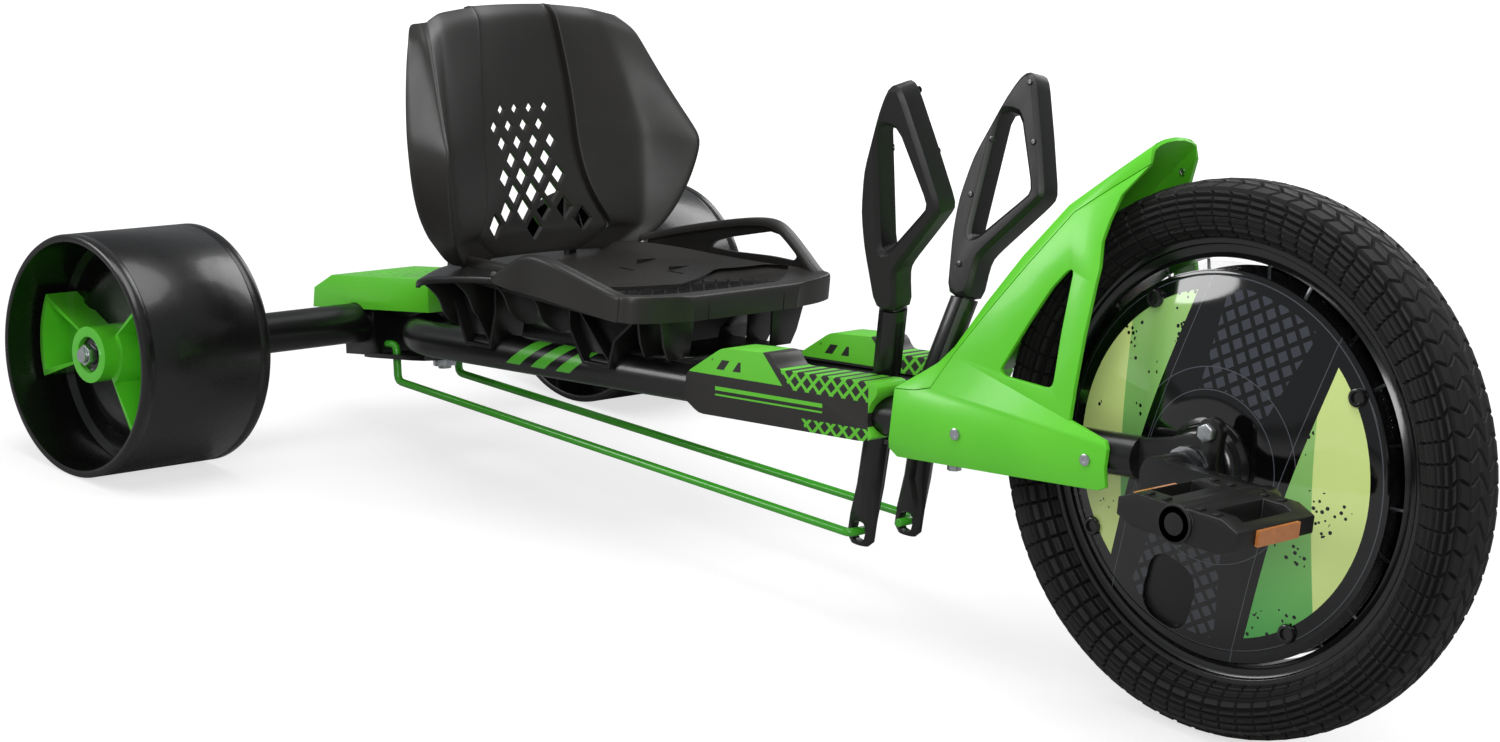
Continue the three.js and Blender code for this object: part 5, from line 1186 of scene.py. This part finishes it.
def makeSeatPlate():
    p = seatPlate
    rise = layout["railRadius"] + 1
    front, half = p["front"], p["half"]
    back, aside = p["cut"]
    outline = [(p["rear"], -half), (front - back, -half), (front, -half + aside), (front, half - aside),
               (front - back, half), (p["rear"], half)]
    obj = prismOf([at(x, y, railHeight(x) + rise) for x, y in outline], (0, 0, p["thick"] * mm))
    settle(obj, "seatPlate", "blackPowderCoat", body="frame",
           edge=(0.6, 2, 40), shade=30)


makeSeatPlate()
print("stage: seat base made")

# Pedal studs and end caps, set on each moulded body about its spindle
pedal = {"thin": 12, "stud": (4.2, 7, 3.2), "studs": 5, "studPitch": 14, "studRow": 36, "cap": 12.4,
         "capSink": 1, "capStand": 0.4, "capSoft": 0.3, "capHollow": 0.35}


def makePedalTrim(side, tag):
    node = "pedal_body_" + tag
    low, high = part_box(node)
    centre = (low + high) / 2
    model = boxOf(pedal["stud"])
    roundEdges(model, 0.7, 2)
    shifts = [(index - (pedal["studs"] - 1) / 2) * pedal["studPitch"] for index in range(pedal["studs"])]
    rows = [(up, across) for up in (-1, 1) for across in (-1, 1)]
    studs = [(shift, across * pedal["studRow"], up * pedal["thin"]) for up, across in rows for shift in shifts]
    for index, stud in enumerate(studs):
        settle(copyOf(model, Matrix.Translation(centre + Vector(stud) * mm)),
               f"pedalStud{tag.capitalize()}{index + 1}", "blackNylon", node, shade=30)
    bpy.data.objects.remove(model)
    stand = pedal["capStand"]
    end = Vector((centre.x, side * (max(abs(low.y), abs(high.y)) - stand * mm), centre.z))
    profile = buttonProfile(pedal["cap"], -pedal["capSink"], stand, pedal["capSoft"], pedal["capHollow"])
    cap = spun(onSide(profile, side), around["pedalCap"], end)
    settle(cap, "pedalCap" + tag.capitalize(), "blackAbs", node, shade=30)


for side, tag in sides:
    makePedalTrim(side, tag)
print("stage: pedals trimmed")

# Screws. Those of grips and fender are read off the photograph, in its pixels, and found on the form that
# shows there.
screws = {"shroud": {"radius": 4.4, "height": 2.4, "across": 80.4, "places": [(735, 183), (857, 194)]},
          "grip": {"radius": 2.6, "height": 1.0,
                   "pixels": [(1030, 82), (992, 139), (1033.5, 142), (970.7, 194.4), (959, 264)]},
          "fender": {"radius": 3.4, "height": 1.6, "pixel": (1182.5, 172)},
          "shares": ((0.25, 0.18), (0.3, 0), (0.06, -0.35))}


def screwHead(radius, height):
    bpy.ops.object.select_all(action="DESELECT")
    bpy.ops.mesh.primitive_cylinder_add(vertices=24, radius=radius * mm, depth=height * mm,
                                        location=(0, 0, 0))
    obj = bpy.context.object

    def ringed():
        for wide, deep in screws["shares"]:
            bpy.ops.mesh.inset(thickness=radius * wide * mm, depth=height * deep * mm)

    facesOf(obj, lambda face: face.normal.z > facing, ringed)
    return obj


def setScrew(model, name, body, point, direction, material="zincPlate"):
    turn = Vector(direction).to_track_quat("Z", "Y").to_matrix().to_4x4()
    settle(copyOf(model, Matrix.Translation(point) @ turn), name, material, shade=30, body=body)


def seenPoint(node, across, down):
    right, up, ahead = viewAxes()
    width, height = view["photo"]
    aside = right * (across - width / 2) + up * (height / 2 - down)
    sight = ahead * view["lens"] + aside * view["sensor"] / width
    data = cadNodes[node].data
    corners = [vertex.co for vertex in data.vertices]
    tree = BVHTree.FromPolygons(corners, [face.vertices for face in data.polygons])
    return tree.ray_cast(Vector(view["place"]), sight.normalized())[:2]


model = screwHead(screws["shroud"]["radius"], screws["shroud"]["height"])
for side, tag in sides:
    for index, (x, z) in enumerate(screws["shroud"]["places"]):
        setScrew(model, f"shroudScrew{tag.capitalize()}{index + 1}", "frame",
                 at(x, side * screws["shroud"]["across"], z), (0, side, 0))
bpy.data.objects.remove(model)
model = screwHead(screws["grip"]["radius"], screws["grip"]["height"])
for index, pixel in enumerate(screws["grip"]["pixels"]):
    point, normal = seenPoint("lever_grip_left", *pixel)
    for side, tag in sides:
        mirror = Matrix.Diagonal((1, side, 1))
        setScrew(model, f"gripScrew{tag.capitalize()}{index + 1}", nodeBody["lever_grip_" + tag],
                 mirror @ point, mirror @ normal, "blackAbs")
bpy.data.objects.remove(model)
model = screwHead(screws["fender"]["radius"], screws["fender"]["height"])
setScrew(model, "fenderScrew", nodeBody["fender"], *seenPoint("fender", *screws["fender"]["pixel"]))
bpy.data.objects.remove(model)
print("stage: screws set")
